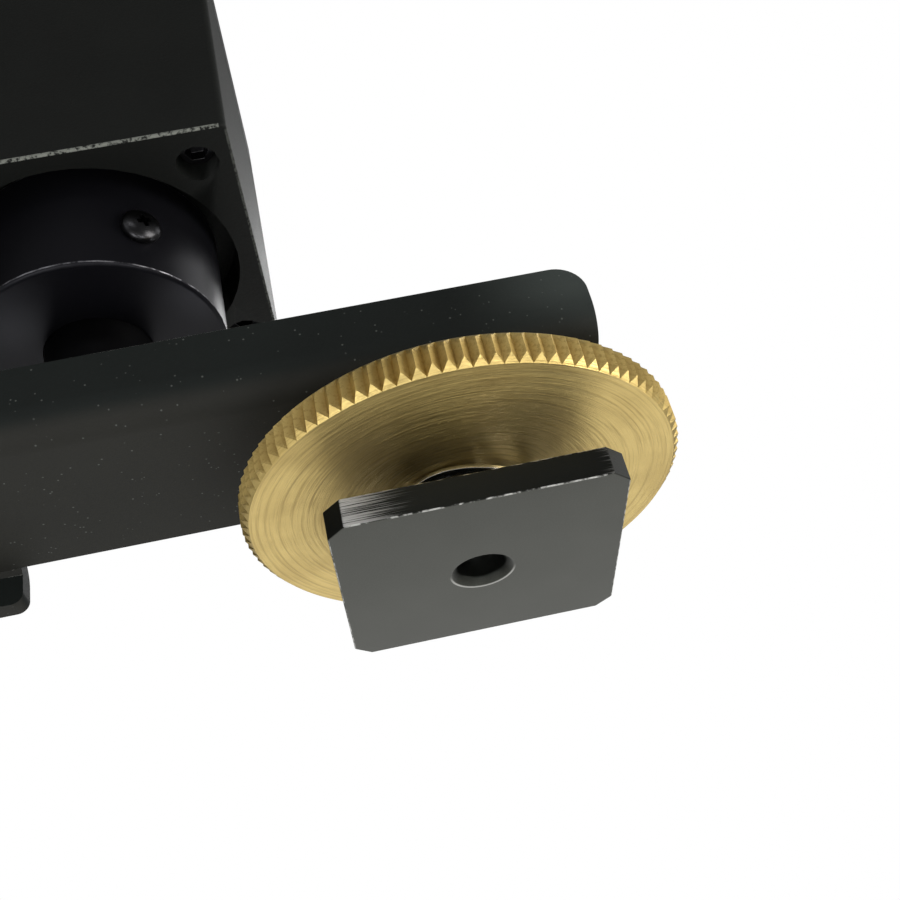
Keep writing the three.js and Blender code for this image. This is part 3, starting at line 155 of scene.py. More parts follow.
# %% Shader sockets that do arithmetic
class Field:
    """A number that varies over a surface, on which + - * / and ** add Math nodes."""

    def __init__(self, recipe, socket):
        self.recipe = recipe
        self.socket = socket

    def maths(self, operation, *values):
        inputs = dict(enumerate(values))
        return self.recipe.node("ShaderNodeMath", {"operation": operation}, inputs)

    def __add__(self, other):
        return self.maths("ADD", self, other)

    def __radd__(self, other):
        return self.maths("ADD", other, self)

    def __sub__(self, other):
        return self.maths("SUBTRACT", self, other)

    def __rsub__(self, other):
        return self.maths("SUBTRACT", other, self)

    def __mul__(self, other):
        return self.maths("MULTIPLY", self, other)

    def __rmul__(self, other):
        return self.maths("MULTIPLY", other, self)

    def __truediv__(self, other):
        return self.maths("DIVIDE", self, other)

    def __pow__(self, other):
        return self.maths("POWER", self, other)

    def __abs__(self):
        return self.maths("ABSOLUTE", self)

    def wave(self):
        return self.maths("SINE", self)

    def root(self):
        return self.maths("SQRT", self)


class Recipe:
    """One material."""

    def __init__(self, name):
        self.material = bpy.data.materials.new(name)
        self.material.use_nodes = True
        self.tree = self.material.node_tree
        self.tree.nodes.clear()
        self.shader = self.tree.nodes.new("ShaderNodeBsdfPrincipled")
        output = self.tree.nodes.new("ShaderNodeOutputMaterial")
        self.tree.links.new(self.shader.outputs["BSDF"], output.inputs["Surface"])
        self.place = self.node("ShaderNodeTexCoord", {}, {}, "Object")

    def node(self, kind, settings, inputs, output=0):
        made = self.tree.nodes.new(kind)
        for name, value in settings.items():
            if name == "stops":
                self.set_stops(made.color_ramp, value)
            else:
                setattr(made, name, value)
        for key, value in inputs.items():
            self.feed(made.inputs[key], value)
        return Field(self, made.outputs[output])

    def feed(self, socket, value):
        if isinstance(value, Field):
            self.tree.links.new(value.socket, socket)
        elif isinstance(value, (tuple, Vector)) and socket.type == "RGBA":
            socket.default_value = (*value[:3], 1.0)
        else:
            socket.default_value = value

    def set_stops(self, ramp, stops):
        while len(ramp.elements) < len(stops):
            ramp.elements.new(0.5)
        for element, (position, colour) in zip(ramp.elements, stops):
            element.position = position
            element.color = (*colour, 1.0)

    def noise(self, size, detail=2.0, stretch=(1, 1, 1), rough=0.5):
        """Cloudy variation from 0 to 1 whose lumps are about size millimetres across."""
        place = self.node("ShaderNodeMapping", {}, {"Vector": self.place, "Scale": Vector(stretch)})
        inputs = {"Vector": place, "Scale": 1 / (size * MM), "Detail": detail, "Roughness": rough}
        return self.node("ShaderNodeTexNoise", {}, inputs, "Fac")

    def specks(self, size, share):
        """Small round dots of about size millimetres on a share of the surface."""
        inputs = {"Vector": self.place, "Scale": 1 / (size * MM)}
        cells = self.node("ShaderNodeTexVoronoi", {}, inputs, "Distance")
        return self.between(cells, share, share * 0.6)

    def between(self, field, low, high):
        """0 up to low, 1 from high, and a smooth step in between."""
        settings = {"interpolation_type": "SMOOTHSTEP", "clamp": True}
        return self.node("ShaderNodeMapRange", settings, {0: field, 1: low, 2: high})

    def attribute(self, name):
        return self.node("ShaderNodeAttribute", {"attribute_name": name}, {}, "Fac")

    def parts(self, vector):
        split = self.node("ShaderNodeSeparateXYZ", {}, {0: vector})
        return [Field(self, output) for output in split.socket.node.outputs]

    def axes(self):
        """How far a point is along X, Y and Z from the piece's own origin, in metres."""
        return self.parts(self.place)

    def facing(self):
        """How far the surface's normal leans along X, Y and Z, whatever the view."""
        return self.parts(self.node("ShaderNodeTexCoord", {}, {}, "Normal"))

    def blend(self, mask, below, above):
        """Colour below where mask is 0, and above where it is 1. A Mix node's colours are 6, 7 and 2."""
        settings = {"data_type": "RGBA", "clamp_factor": True}
        return self.node("ShaderNodeMix", settings, {0: mask, 6: below, 7: above}, 2)

    def relief(self, height, depth):
        """The normal of a surface whose height field stands depth millimetres proud at 1."""
        return self.node("ShaderNodeBump", {}, {"Height": height, "Distance": depth * MM, "Strength": 1.0})

    def finish(self, **inputs):
        """Feeds the surface's sockets, whose names are written small and with underscores here."""
        for name, value in inputs.items():
            self.feed(self.shader.inputs[name.replace("_", " ").title().replace("Ior", "IOR")], value)
        return self.material


print("helpers ready")

# %% [markdown]
# ## Anodised aluminium
# Anodising is a dyed, slightly glossy skin on milled metal. It is neither paint nor bare metal: it
# shows the mill's fine lines, reflects greyly, and at corners it chips to bright aluminium. The grain
# is a stretched noise, the lines follow a face's own direction, and the chips come from an attribute
# that the bevels carry, broken up by noise so that an edge never wears evenly.

# %% Anodised finishes
BARE_ALUMINIUM_AND_GLINT = (0.62, 0.62, 0.60)
TAP_MOUTH = 2.14 * MM
ARC_CENTRE = (-8.5 * MM, -4.0 * MM)


def worn_edge(recipe, size, low, high):
    """Where a bevelled edge has lost its skin: 1 is bare metal."""
    chips = recipe.noise(size, detail=4.0, rough=0.65)
    return recipe.between(chips, low, high) * recipe.attribute("worn")


def anodised_foot():
    recipe = Recipe("anodised_foot")
    x, y, _ = recipe.axes()
    lean = recipe.facing()
    side = recipe.between(abs(lean[2]), 0.88, 0.60)
    grain = recipe.noise(0.09, detail=3.0)
    lines = recipe.noise(0.5, detail=3.0, stretch=(0.10, 0.10, 8.0), rough=0.7)
    radius = ((x - ARC_CENTRE[0]) ** 2 + (y - ARC_CENTRE[1]) ** 2).root()
    arcs = (radius * 16000.0 + recipe.noise(2.0) * 5.0).wave() * recipe.noise(1.8, detail=1.0)
    cloud = recipe.noise(5.0, detail=2.0)
    worn = worn_edge(recipe, 0.7, 0.42, 0.62)
    # Painted highlight: on faces turned toward the near side, streaks along the milling lines in two bands
    # of X are coloured bright grey, for light catching them.
    wear_and_sheen_band = recipe.between(x, -3.0 * MM, -8.5 * MM) + recipe.between(x, 7.2 * MM, 8.8 * MM) * 0.6
    milled = recipe.between(lean[1], -0.80, -0.95)
    painted_highlight_streaks = recipe.between(lines + wear_and_sheen_band * 0.20, 0.58, 0.72) * milled * wear_and_sheen_band
    # Painted highlight: a bright crescent on the far half of the tapped hole's rim, where the light glints,
    # coloured like bare aluminium.
    painted_rim_glint = recipe.between(abs((x * x + y * y).root() - TAP_MOUTH), 0.09 * MM, 0.03 * MM)
    painted_rim_glint = painted_rim_glint * recipe.between(y, -0.2 * MM, 1.2 * MM)
    height = grain * 0.5 + lines * side * 1.6 + arcs * 0.12
    base = recipe.blend(cloud, (0.052, 0.054, 0.047), (0.070, 0.072, 0.064))
    base = recipe.blend(recipe.between(grain, 0.42, 0.66) * 0.35, base, (0.098, 0.100, 0.091))
    # Painted shade: faces that stand upright are coloured much darker than the underside, for how little
    # light falls on them.
    base = recipe.blend(side * 0.9, base, (0.006, 0.007, 0.006))
    # The bright grey here is the painted highlight on the near faces.
    base = recipe.blend(painted_highlight_streaks * 0.8, base, (0.50, 0.50, 0.49))
    # Worn edges are real bare metal; the rim crescent is a painted highlight in the same colour.
    base = recipe.blend(worn * 0.7 + painted_rim_glint * 0.6, base, BARE_ALUMINIUM_AND_GLINT)
    return recipe.finish(base_color=base, metallic=0.80, roughness=0.38 + grain * 0.10 - worn * 0.10,
                         specular_ior_level=0.25, normal=recipe.relief(height, 0.0035))


def anodised_smooth(name, colour, roughness):
    recipe = Recipe(name)
    grain = recipe.noise(0.12, detail=2.0)
    rings = recipe.noise(0.6, detail=3.0, stretch=(0.3, 0.3, 7.0), rough=0.6)
    worn = worn_edge(recipe, 1.3, 0.34, 0.60)
    base = recipe.blend(worn, colour, (0.24, 0.24, 0.26))
    return recipe.finish(base_color=base, metallic=0.55 + worn * 0.4, roughness=roughness + grain * 0.08,
                         specular_ior_level=0.2, normal=recipe.relief(grain * 0.3 + rings * 0.4, 0.0015))


# %% [markdown]
# ## Blasted paint and grained casting
# The arm is sheet that was blasted and coated, so its black is dull and dusted with pale specks. The
# housing is rougher, with a grain that can be felt. Both are mostly a bump: colour alone would look
# like printed paper. Along the edges the coat is thin, and a ragged bright line shows through. A part
# that is handled in one place is rubbed bare there. Faces that lean down are given painted light and
# shade: lighter on the arm, darker on the casing. Near the arm's nose a painted sheen stands in for a
# reflection. So some masks are simply ranges of X or Z.

# %% Coated finishes
def blasted_paint():
    recipe = Recipe("blasted_paint")
    x, _, z = recipe.axes()
    below = recipe.between(recipe.facing()[2], -0.3, -0.8)
    grain = recipe.noise(0.16, detail=4.0, rough=0.6)
    cloud = recipe.noise(7.0, detail=3.0)
    dust = recipe.specks(0.55, 0.15) * recipe.between(recipe.noise(1.6, detail=1.0), 0.46, 0.56)
    # Painted sheen: near the arm's nose the colour is lightened to stand in for a lamp's reflection.
    painted_sheen = recipe.between(x, 1.0 * MM, 10.5 * MM) * recipe.between(z, 11.5 * MM, 16.0 * MM)
    handled = recipe.between(abs(x + 17.5 * MM), 6.0 * MM, 3.5 * MM)
    worn = worn_edge(recipe, 0.9, 0.56, 0.62) * 0.5
    # Here the band is only wear: the handled edges are rubbed down to bare metal.
    wear_and_sheen_band = recipe.attribute("worn") * handled * recipe.between(recipe.noise(0.5), 0.36, 0.46)
    # Painted light and shade: faces that lean down get a lighter colour than the upright faces, for how the
    # light falls on them.
    upright = recipe.blend(cloud, (0.0052, 0.0074, 0.0068), (0.0088, 0.0116, 0.0108))
    underside_lit_tone = recipe.blend(cloud, (0.0125, 0.0127, 0.0108), (0.0180, 0.0180, 0.0153))
    base = recipe.blend(below, upright, underside_lit_tone)
    base = recipe.blend(painted_sheen * 0.9, base, (0.046, 0.055, 0.052))
    base = recipe.blend(dust * 0.45, base, (0.15, 0.16, 0.15))
    base = recipe.blend(worn + wear_and_sheen_band, base, (0.42, 0.42, 0.40))
    return recipe.finish(base_color=base, metallic=wear_and_sheen_band * 0.8, roughness=0.64 + grain * 0.14,
                         specular_ior_level=0.20, normal=recipe.relief(grain, 0.010))


def grained_casting():
    recipe = Recipe("grained_casting")
    grain = recipe.noise(0.22, detail=4.0, rough=0.7)
    lumps = recipe.noise(0.7, detail=2.0)
    cloud = recipe.noise(6.0, detail=2.0)
    x, _, z = recipe.axes()
    end_face = recipe.between(x, -11.8 * MM, -11.3 * MM)
    low_edge = recipe.between(z, 34.5 * MM, 33.5 * MM)
    worn = worn_edge(recipe, 0.32, 0.38, 0.56) * (1.0 - end_face * 0.8) * low_edge
    base = recipe.blend(cloud, (0.0052, 0.0060, 0.0055), (0.0090, 0.0100, 0.0090))
    # Painted shade: faces that lean down are coloured darker, for the shadow of the arm falling on them.
    below = recipe.between(recipe.facing()[2], -0.3, -0.8)
    base = recipe.blend(below * 0.6, base, (0.0022, 0.0026, 0.0022))
    base = recipe.blend(worn, base, (0.20, 0.21, 0.19))
    return recipe.finish(base_color=base, metallic=worn * 0.4, roughness=0.50 + grain * 0.22,
                         specular_ior_level=0.15, normal=recipe.relief(grain + lumps * 0.5, 0.022))


# %% [markdown]
# ## Turned brass
# A lathe leaves one long spiral groove, so its highlight spreads into a bow-tie across the face. An
# anisotropic shader could fake that, but real rings in the bump do it too and survive baking. The
# rings are a noise read along the radius and hardly round the axis. Brass also tarnishes: browner in
# the knurl's valleys, cleaner where fingers polish it.

# %% Brass
def turned_brass(name, pale, deep, ring_depth):
    recipe = Recipe(name)
    x, y, z = recipe.axes()
    radius = (x * x + y * y).root()
    inputs = {0: radius * 5000.0, 1: x / radius * 1.3, 2: y / radius * 1.3 + z * 4000.0}
    along = recipe.node("ShaderNodeCombineXYZ", {}, inputs)
    inputs = {"Vector": along, "Scale": 1.0, "Detail": 5.0, "Roughness": 0.72}
    rings = recipe.node("ShaderNodeTexNoise", {}, inputs, "Fac")
    inputs = {"Vector": along, "Scale": 0.22, "Detail": 2.0}
    wide = recipe.node("ShaderNodeTexNoise", {}, inputs, "Fac")
    grain = recipe.noise(0.07, detail=3.0)
    cloud = recipe.noise(4.0, detail=3.0)
    valley = recipe.attribute("valley")
    tarnish = recipe.between(cloud, 0.35, 0.75) * 0.35 + valley * 0.55
    base = recipe.blend(tarnish, pale, deep)
    base = recipe.blend(recipe.between(rings, 0.46, 0.66) * 0.6, base, deep)
    # Painted highlight: the bevels are coloured silvery, a glint that stands in for the washer's edge
    # catching the light, though the attribute that marks them is called worn.
    base = recipe.blend(recipe.attribute("worn") * 0.8, base, (0.78, 0.78, 0.80))
    knurl = recipe.attribute("knurl")
    height = (rings + wide) * (1.0 - knurl) * ring_depth + grain * (0.10 + knurl * 1.4)
    return recipe.finish(base_color=base, metallic=1.0,
                         roughness=0.32 + grain * 0.10 + knurl * 0.16 + tarnish * 0.08,
                         normal=recipe.relief(height, 0.0100))


# %% [markdown]
# ## Steel, bronze and small mouldings
# The rest are quick variations of one metal and one plastic. Each still has its own grain, because a
# perfectly even surface reads as computer-made even on a screw head.

# %% Plain metals and plastics
def plain_metal(name, colour, roughness, stretch=(1, 1, 6)):
    recipe = Recipe(name)
    grain = recipe.noise(0.12, detail=3.0, stretch=stretch)
    stain = recipe.noise(2.5, detail=3.0)
    worn = recipe.attribute("worn")
    dark = tuple(value * 0.72 for value in colour)
    bright = tuple(min(1.0, value * 1.35) for value in colour)
    base = recipe.blend(recipe.between(stain, 0.40, 0.75) * 0.7, colour, dark)
    base = recipe.blend(worn * 0.6, base, bright)
    return recipe.finish(base_color=base, metallic=1.0, roughness=roughness + grain * 0.12 - worn * 0.05,
                         normal=recipe.relief(grain, 0.002))


def moulded(name, colour, roughness, depth=0.004):
    recipe = Recipe(name)
    grain = recipe.noise(0.10, detail=3.0)
    cloud = recipe.noise(3.0, detail=2.0)
    pale = tuple(value * 1.35 + 0.002 for value in colour)
    base = recipe.blend(cloud, colour, pale)
    return recipe.finish(base_color=base, metallic=0.0, roughness=roughness + grain * 0.15,
                         normal=recipe.relief(grain, depth))


finishes = {
    "foot_black": anodised_foot(),
    "arm_black": blasted_paint(),
    "housing_black": grained_casting(),
    "hub_black": anodised_smooth("hub_black", (0.0075, 0.0075, 0.0100), 0.34),
    "cover_black": anodised_smooth("cover_black", (0.022, 0.023, 0.022), 0.38),
    "wheel_brass": turned_brass("wheel_brass", (0.70, 0.535, 0.205), (0.36, 0.24, 0.075), 7.0),
    "gear_brass": turned_brass("gear_brass", (0.62, 0.45, 0.20), (0.36, 0.23, 0.08), 1.5),
    "plated_steel": plain_metal("plated_steel", (0.66, 0.67, 0.69), 0.16),
    "spindle_steel": plain_metal("spindle_steel", (0.010, 0.010, 0.011), 0.50),
    "screw_nickel": plain_metal("screw_nickel", (0.045, 0.045, 0.048), 0.24, stretch=(1, 1, 1)),
    "bush_bronze": plain_metal("bush_bronze", (0.42, 0.27, 0.12), 0.42),
    "motor_steel": plain_metal("motor_steel", (0.50, 0.51, 0.52), 0.34),
    "socket_steel": plain_metal("socket_steel", (0.58, 0.59, 0.60), 0.26, stretch=(6, 1, 1)),
    "gasket_rubber": moulded("gasket_rubber", (0.012, 0.012, 0.012), 0.80),
    "board_green": moulded("board_green", (0.012, 0.075, 0.028), 0.45),
    "moulded_black": moulded("moulded_black", (0.020, 0.021, 0.023), 0.45),
    "light_red": moulded("light_red", (0.45, 0.022, 0.014), 0.10, depth=0.0005),
}
print("finishes", len(finishes))

# %% [markdown]
# ## Rounding the parts
# Machined parts never have knife edges, and the thin bright line on a broken edge is what makes metal
# look like metal. Each outer part is therefore rebuilt from its frame solid: its triangles are
# dissolved back to flat faces, and its sharp edges are bevelled. The bevel's faces carry the `worn`
# attribute that the finishes read. The work is done in millimetres, because bmesh's operators lose
# their footing on edges shorter than a few micrometres of scene.

# %% Helpers for pieces
SMOOTH_ANGLE = math.radians(40)
SHARP_TURN = math.radians(35)
FLAT_TURN = math.radians(0.5)
BEVEL_SEGMENTS = 3
WELD = 0.0005


def frame_solid(node):
    """A frame node's surface as joined flat faces, in millimetres."""
    mesh = bmesh.new()
    mesh.from_mesh(frame["nodes"][node].data)
    bmesh.ops.scale(mesh, vec=(1 / MM,) * 3, verts=mesh.verts)
    bmesh.ops.remove_doubles(mesh, verts=mesh.verts, dist=WELD)
    bmesh.ops.dissolve_limit(mesh, angle_limit=FLAT_TURN, verts=mesh.verts, edges=mesh.edges)
    return mesh


def round_edges(mesh, width, worn_over=0.0, clamp=True, keep=lambda edge: True):
    """Bevels the kept edges that turn sharply. Strips longer than worn_over are marked worn."""
    worn = mesh.faces.layers.float.new("worn")
    edges = [e for e in mesh.edges if e.is_manifold and e.calc_face_angle() > SHARP_TURN and keep(e)]
    made = bmesh.ops.bevel(mesh, geom=edges, offset=width, offset_type="OFFSET",
                           segments=BEVEL_SEGMENTS, profile=0.5, affect="EDGES", clamp_overlap=clamp,
                           material=-1)
    for face in made["faces"]:
        if max(edge.calc_length() for edge in face.edges) > worn_over:
            face[worn] = 1.0
    return mesh


def spun(profile, steps):
    """A run of (radius, height) points turned round the upright. It starts and ends on it, or closes."""
    mesh = bmesh.new()
    points = [mesh.verts.new((radius, 0.0, height)) for radius, height in profile]
    ends_on_axis = profile[0][0] == profile[-1][0] == 0.0
    first = 1 if ends_on_axis else 0
    edges = [mesh.edges.new((points[i - 1], points[i])) for i in range(first, len(points))]
    bmesh.ops.spin(mesh, geom=points + edges, cent=(0, 0, 0), axis=(0, 0, 1), dvec=(0, 0, 0),
                   angle=2 * math.pi, steps=steps, use_merge=True)
    bmesh.ops.remove_doubles(mesh, verts=mesh.verts, dist=WELD)
    bmesh.ops.recalc_face_normals(mesh, faces=mesh.faces)
    return mesh


def lean_on_large_faces(made):
    """Keeps flat faces flat: corner normals follow the larger face, so only the bevels are shaded round."""
    modifier = made.modifiers.new("weighted", "WEIGHTED_NORMAL")
    modifier.keep_sharp = True
    modifier.weight = 100
    plain = made.data
    evaluated = made.evaluated_get(bpy.context.evaluated_depsgraph_get())
    made.data = bpy.data.meshes.new_from_object(evaluated)
    made.modifiers.remove(modifier)
    made.data.name = plain.name
    bpy.data.meshes.remove(plain)


def piece(name, mesh, *nodes):
    """Makes the object, gives it its finish, and lets it stand for the frame nodes it is built over."""
    bmesh.ops.scale(mesh, vec=(MM,) * 3, verts=mesh.verts)
    data = bpy.data.meshes.new(name)
    mesh.to_mesh(data)
    mesh.free()
    data.polygons.foreach_set("use_smooth", [True] * len(data.polygons))
    data.set_sharp_from_angle(angle=SMOOTH_ANGLE)
    made = bpy.data.objects.new(name, data)
    bpy.context.scene.collection.objects.link(made)
    lean_on_large_faces(made)
    made.data.materials.append(finishes[slot_of[nodes[0]]])
    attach(made, body_of[nodes[0]])
    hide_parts(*nodes)
    print(name, len(made.data.polygons), "faces")
    return made


def corners(node):
    """A frame node's box as its low and high corner, in millimetres."""
    low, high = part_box(node)
    return low / MM, high / MM


print("piece helpers ready")

# %% [markdown]
# ## Which edges are broken
# One bevel width for everything would look like one machine made it all. Turned and punched parts get
# their own width. On the foot, the arm and the casing only long straight edges rub bare, because the
# rims of small holes are never touched. On the casing the bevel keeps to the outline, and isn't held
# back by the short segments of its rounded corners.

# %% Rounded outer parts
ROUNDED = {
    "top_cover": 0.25, "axis_cap": 0.10, "spindle_base": 0.15, "stud_washer": 0.06,
    "stud_nut": 0.08, "cover_gasket": 0.05, "status_light": 0.10, "direction_slider": 0.15,
    "power_socket": 0.05, "spindle": 0.05,
}
STRAIGHT = 3.0
for node, width in ROUNDED.items():
    piece(f"{node}_finished", round_edges(frame_solid(node), width), node)
for node, width in (("shoe_foot", 0.08), ("arm_bracket", 0.10)):
    piece(f"{node}_finished", round_edges(frame_solid(node), width, worn_over=STRAIGHT), node)


def level_on_outline(edge, low, high, reach=0.6):
    """Whether a level edge runs along the outside of a box, give or take its rounded corners."""
    start, end = [v.co for v in edge.verts]
    return start.z == end.z and all(
        min(co.x - low.x, high.x - co.x, co.y - low.y, high.y - co.y) < reach for co in (start, end))


def casing():
    low, high = corners("drive_housing")
    mesh = round_edges(frame_solid("drive_housing"), 0.20, worn_over=STRAIGHT, clamp=False,
                       keep=lambda edge: level_on_outline(edge, low, high))
    return piece("drive_housing_finished", mesh, "drive_housing")


def hub():
    low, high = corners("output_hub")
    middle, radius = (low + high) / 2, (high.x - low.x) / 2
    width = 0.05
    mesh = round_edges(frame_solid("output_hub"), width,
                       keep=lambda edge: (edge.verts[0].co - middle).xy.length > radius - width)
    return piece("output_hub_finished", mesh, "output_hub")


casing()
hub()

for prefix, count, width in (("base_stud", 4, 0.15), ("base_nut", 4, 0.06), ("case_screw", 4, 0.06)):
    for index in range(1, count + 1):
        node = f"{prefix}_{index}"
        piece(f"{node}_finished", round_edges(frame_solid(node), width), node)

# %% [markdown]
# ## The clamping wheel
# A knurling tool presses vee grooves into the rim and leaves sharp crests between them. One groove
# could be modelled and copied with an array, but the profile of the whole wheel spun in two steps
# for each groove already has its edges where the grooves are: every second column of the rim is pulled
# in to the groove's root. The chamfer's quads are then split along their long diagonal, so that each
# crest ends in a small triangle, just as when the chamfer is turned after the knurl.

# %% Clamping wheel
STUD_RADIUS = 3.0
KNURL_GROOVES = 100
KNURL_DEPTH = 0.5
GROOVE_FILL = 0.05
RIM_CHAMFER = 0.5
STUD_CLEARANCE = 0.06
WHEEL_THICKNESS = 2.35
WHEEL_BOSS = 7.0
RECESS_RADIUS = 4.0
RECESS_DEPTH = 1.4
FACE_RINGS = (5.6, 9.0, 12.4)


def clamp_wheel():
    low, high = corners("clamp_wheel")
    face = low.z + WHEEL_THICKNESS
    bore = STUD_RADIUS + STUD_CLEARANCE
    root = high.x - KNURL_DEPTH
    underside = [(bore, low.z + RECESS_DEPTH), (RECESS_RADIUS, low.z + RECESS_DEPTH), (RECESS_RADIUS, low.z)]
    underside += [(ring, low.z) for ring in FACE_RINGS]
    rim = [(root, low.z), (high.x, low.z + RIM_CHAMFER), (high.x, face - RIM_CHAMFER), (root, face)]
    top = [(ring, face) for ring in reversed(FACE_RINGS) if ring > WHEEL_BOSS]
    top += [(WHEEL_BOSS, face), (WHEEL_BOSS, high.z), (bore, high.z)]
    profile = underside + rim + top
    mesh = spun(profile, 2 * KNURL_GROOVES)
    knurl = mesh.faces.layers.float.new("knurl")
    valley = mesh.verts.layers.float.new("valley")
    rim_faces = [f for f in mesh.faces if f.calc_center_median().xy.length > root]
    chamfers = [f for f in rim_faces if abs(f.normal.z) > 0.5]
    for rim_face in set(rim_faces) - set(chamfers):
        rim_face[knurl] = 1.0
    for vert in mesh.verts:
        radius = vert.co.xy.length
        column = round(math.atan2(vert.co.y, vert.co.x) * KNURL_GROOVES / math.pi)
        if radius > root + 0.01 and column % 2 == 0:
            unevenness = 0.03 * math.sin(2.1 * column) + 0.02 * math.sin(0.37 * column)
            vert.co.xy *= (root + GROOVE_FILL + unevenness) / radius
            vert[valley] = 1.0
    bmesh.ops.triangulate(mesh, faces=chamfers, quad_method="LONG_EDGE")
    round_edges(mesh, 0.10, keep=lambda e: e.verts[0].co.xy.length < root - 0.5)
    return piece("clamp_wheel_knurled", mesh, "clamp_wheel")


clamp_wheel()

# %% [markdown]
# ## The wave washer
# A wave washer is a flat spring ring bent into three low waves, so that the wheel always presses on
# something that gives. It is spun flat with many steps, then each vertex is lifted by the cosine of
# three times its angle.

# %% Wave washer
WAVES = 3
WASHER_THICKNESS = 0.3
WASHER_INNER = 4.15


def wave_washer():
    low, high = corners("wave_washer")
    lift = (high.z - low.z - WASHER_THICKNESS) / 2
    middle = (low.z + high.z) / 2
    bottom, top = middle - WASHER_THICKNESS / 2, middle + WASHER_THICKNESS / 2
    profile = [(WASHER_INNER, bottom), (high.x, bottom), (high.x, top), (WASHER_INNER, top)]
    mesh = spun(profile, 96)
    round_edges(mesh, 0.05)
    for vert in mesh.verts:
        vert.co.z += lift * math.cos(WAVES * math.atan2(vert.co.y, vert.co.x))
    return piece("wave_washer_sprung", mesh, "wave_washer")


wave_washer()

# %% [markdown]
# ## Screws, stud and tripod thread
# The hub's screws are pan heads with a cross recess. A recess is easiest to cut with a Boolean, which
# is applied at once so that nothing live is left on the piece. Threads are spun as a zigzag: at this
# size nobody can tell a row of rings from a helix, and rings close by themselves.

# %% Screws and threads
def cut(mesh, cutter):
    """The first mesh less the second."""
    objects = []
    for name, source in (("blank", mesh), ("cutter", cutter)):
        data = bpy.data.meshes.new(name)
        source.to_mesh(data)
        source.free()
        made = bpy.data.objects.new(name, data)
        bpy.context.scene.collection.objects.link(made)
        objects.append(made)
    blank, tool = objects
    modifier = blank.modifiers.new("cut", "BOOLEAN")
    modifier.operation = "DIFFERENCE"
    modifier.solver = "EXACT"
    modifier.object = tool
    result = bmesh.new()
    result.from_object(blank, bpy.context.evaluated_depsgraph_get())
    for made in objects:
        data = made.data
        bpy.data.objects.remove(made)
        bpy.data.meshes.remove(data)
    return result


def recess_bar(length, width, depth, top, turn):
    """A bar that tapers downwards, one arm of a cross recess."""
    mesh = bmesh.new()
    bmesh.ops.create_cube(mesh, size=1.0)
    bmesh.ops.scale(mesh, vec=(length, width, depth + 1.0), verts=mesh.verts)
    bmesh.ops.translate(mesh, vec=(0, 0, top - depth + (depth + 1.0) / 2), verts=mesh.verts)
    for vert in mesh.verts:
        if vert.co.z < top:
            vert.co.x *= 0.45
    bmesh.ops.rotate(mesh, verts=mesh.verts, cent=(0, 0, 0), matrix=Matrix.Rotation(turn, 3, "Z"))
    return mesh


def pan_head(radius, height, shank, length):
    """A pan head standing on Z, its seat at height 0. Every measure of the crown is a share of its own."""
    crown = [(radius * math.cos(a), height * (0.35 + 0.65 * math.sin(a)))
             for a in (math.radians(18 * step) for step in range(5))]
    profile = [(0.0, -length), (shank, -length), (shank, 0.0), (radius * 0.97, 0.0), *crown, (0.0, height)]
    head = spun(profile, 40)
    for turn in (0, math.pi / 2):
        head = cut(head, recess_bar(radius * 1.15, radius * 0.24, height * 0.62, height, turn))
    return head


HUB_SCREW_HEIGHT = 0.95
HUB_SCREW_SHANK = 0.9
HUB_SCREW_LENGTH = 2.0
HUB_SCREW_TWIST = math.radians(24)
SEAT_GAP = 0.02


def hub_screws():
    axis = (corners("output_hub")[0] + corners("output_hub")[1]) / 2
    hub = (corners("output_hub")[1].x - corners("output_hub")[0].x) / 2
    for index in (1, 2, 3):
        node = f"hub_screw_{index}"
        low, high = corners(node)
        place = (low + high) / 2 - axis
        radius = (high.z - low.z) / 2
        mesh = pan_head(radius, HUB_SCREW_HEIGHT, HUB_SCREW_SHANK, HUB_SCREW_LENGTH)
        twist = Matrix.Rotation(HUB_SCREW_TWIST, 3, "Z")
        bmesh.ops.rotate(mesh, verts=mesh.verts, cent=(0, 0, 0), matrix=twist)
        lie = Matrix.Rotation(math.atan2(place.y, place.x), 3, "Z") @ Matrix.Rotation(math.pi / 2, 3, "Y")
        bmesh.ops.translate(mesh, vec=(0, 0, hub + SEAT_GAP), verts=mesh.verts)
        bmesh.ops.rotate(mesh, verts=mesh.verts, cent=(0, 0, 0), matrix=lie)
        bmesh.ops.translate(mesh, vec=(axis.x, axis.y, (low.z + high.z) / 2), verts=mesh.verts)
        piece(f"hub_screw_{index}_pan_head", mesh, node)


def zigzag(radius, depth, pitch, low, high):
    """Thread crests and roots from low to high."""
    turns = int((high - low) / pitch)
    points = []
    for turn in range(turns):
        start = low + turn * pitch
        points += [(radius, start + 0.05 * pitch), (radius - depth, start + 0.5 * pitch)]
    return points + [(radius, low + turns * pitch)]


STUD_THREAD_DEPTH = 0.28
STUD_THREAD_PITCH = 0.5
STUD_PIN_RADIUS = 1.5
STUD_ROOT_RADIUS = 2.7
ARM_UNDERSIDE = 12.0


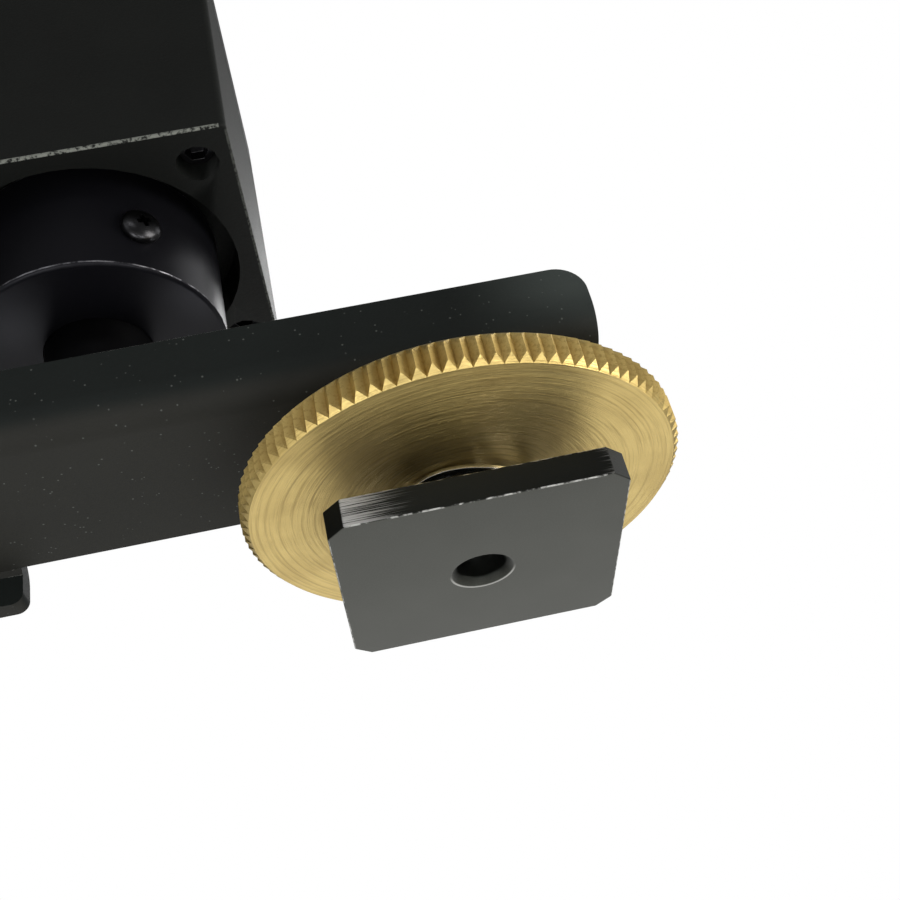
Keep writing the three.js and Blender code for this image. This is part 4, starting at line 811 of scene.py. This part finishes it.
def threaded_stud():
    low, high = corners("shoe_stud")
    neck_top = corners("shoe_foot")[1].z
    thread = (STUD_RADIUS, STUD_THREAD_DEPTH, STUD_THREAD_PITCH)
    lower = zigzag(*thread, neck_top + 0.35, ARM_UNDERSIDE - 1.7)
    upper = zigzag(*thread, ARM_UNDERSIDE + 1.7, high.z - 0.1)
    collar_low, collar_high = ARM_UNDERSIDE - 1.65, ARM_UNDERSIDE - 0.05
    pin = [(0.0, low.z), (STUD_PIN_RADIUS, low.z), (STUD_PIN_RADIUS, neck_top + 0.05)]
    collar = [(STUD_RADIUS, collar_low), (high.x - 0.2, collar_low), (high.x, ARM_UNDERSIDE - 1.45),
              (high.x, collar_high), (STUD_RADIUS, collar_high)]
    tip = [(2.75, high.z), (0.0, high.z)]
    mesh = spun([*pin, (STUD_ROOT_RADIUS, neck_top + 0.05), *lower, *collar, *upper, *tip], 48)
    return piece("shoe_stud_threaded", mesh, "shoe_stud")


BUSH_CREST = 2.65
BUSH_THREAD_DEPTH = 0.45
BUSH_HALF_PITCH = 0.635


def tripod_bush():
    low, high = corners("tripod_bush")
    centre = (low + high) / 2
    outer = (high.x - low.x) / 2
    bore = [(BUSH_CREST + (0.0 if step % 2 else BUSH_THREAD_DEPTH), low.z + 0.4 + step * BUSH_HALF_PITCH)
            for step in range(8)]
    profile = [(outer - 0.1, low.z), (outer, low.z + 0.1), (outer, high.z - 0.2), (outer - 0.2, high.z),
               (3.3, high.z), *reversed(bore), (3.1, low.z)]
    mesh = spun(profile, 64)
    bmesh.ops.translate(mesh, vec=(centre.x, centre.y, 0), verts=mesh.verts)
    return piece("tripod_bush_threaded", mesh, "tripod_bush")


def power_button():
    low, high = corners("power_button")
    centre = (low + high) / 2
    radius = (high.z - low.z) / 2
    depth = high.x - low.x
    stem = radius - 0.7
    profile = [(0.0, 0.0), (stem, 0.0), (stem, 0.45), (radius, 0.45), (radius, depth - 0.45),
               (radius - 0.12, depth - 0.2), (radius - 0.45, depth - 0.08), (radius * 0.5, depth - 0.16),
               (0.0, depth - 0.2)]
    mesh = spun(profile, 48)
    bmesh.ops.rotate(mesh, verts=mesh.verts, cent=(0, 0, 0), matrix=Matrix.Rotation(-math.pi / 2, 3, "Y"))
    bmesh.ops.translate(mesh, vec=(high.x, centre.y, centre.z), verts=mesh.verts)
    return piece("power_button_dished", mesh, "power_button")


hub_screws()
threaded_stud()
tripod_bush()
power_button()

# %% [markdown]
# ## Everything else
# The gears, bushes, motor and board are out of sight, so their frame solids stay as they are. They
# still get their own finishes, because the casing may be taken off in another scene.

# %% Finishes for the frame's own parts
for node, solid in frame["nodes"].items():
    if not solid.hide_render:
        solid.data.materials.clear()
        solid.data.materials.append(finishes[slot_of[node]])
        print(node, "keeps its shape in", slot_of[node])


# %% [markdown]
# ## Floor
# A plain pale sheet lies well below the camera, so that it lights the underside and is seen only in
# views from above.

# %% Floor
FLOOR_LEVEL = -70 * MM
FLOOR_REACH = 1.5


def add_floor():
    recipe = Recipe("pale_floor")
    mesh = bmesh.new()
    bmesh.ops.create_grid(mesh, x_segments=8, y_segments=8, size=FLOOR_REACH)
    bmesh.ops.translate(mesh, vec=(0, 0, FLOOR_LEVEL), verts=mesh.verts)
    data = bpy.data.meshes.new("floor")
    mesh.to_mesh(data)
    mesh.free()
    floor = bpy.data.objects.new("floor", data)
    bpy.context.scene.collection.objects.link(floor)
    data.materials.append(recipe.finish(base_color=(0.80, 0.80, 0.78), roughness=0.8))


add_floor()
print("floor at", FLOOR_LEVEL / MM, "mm")
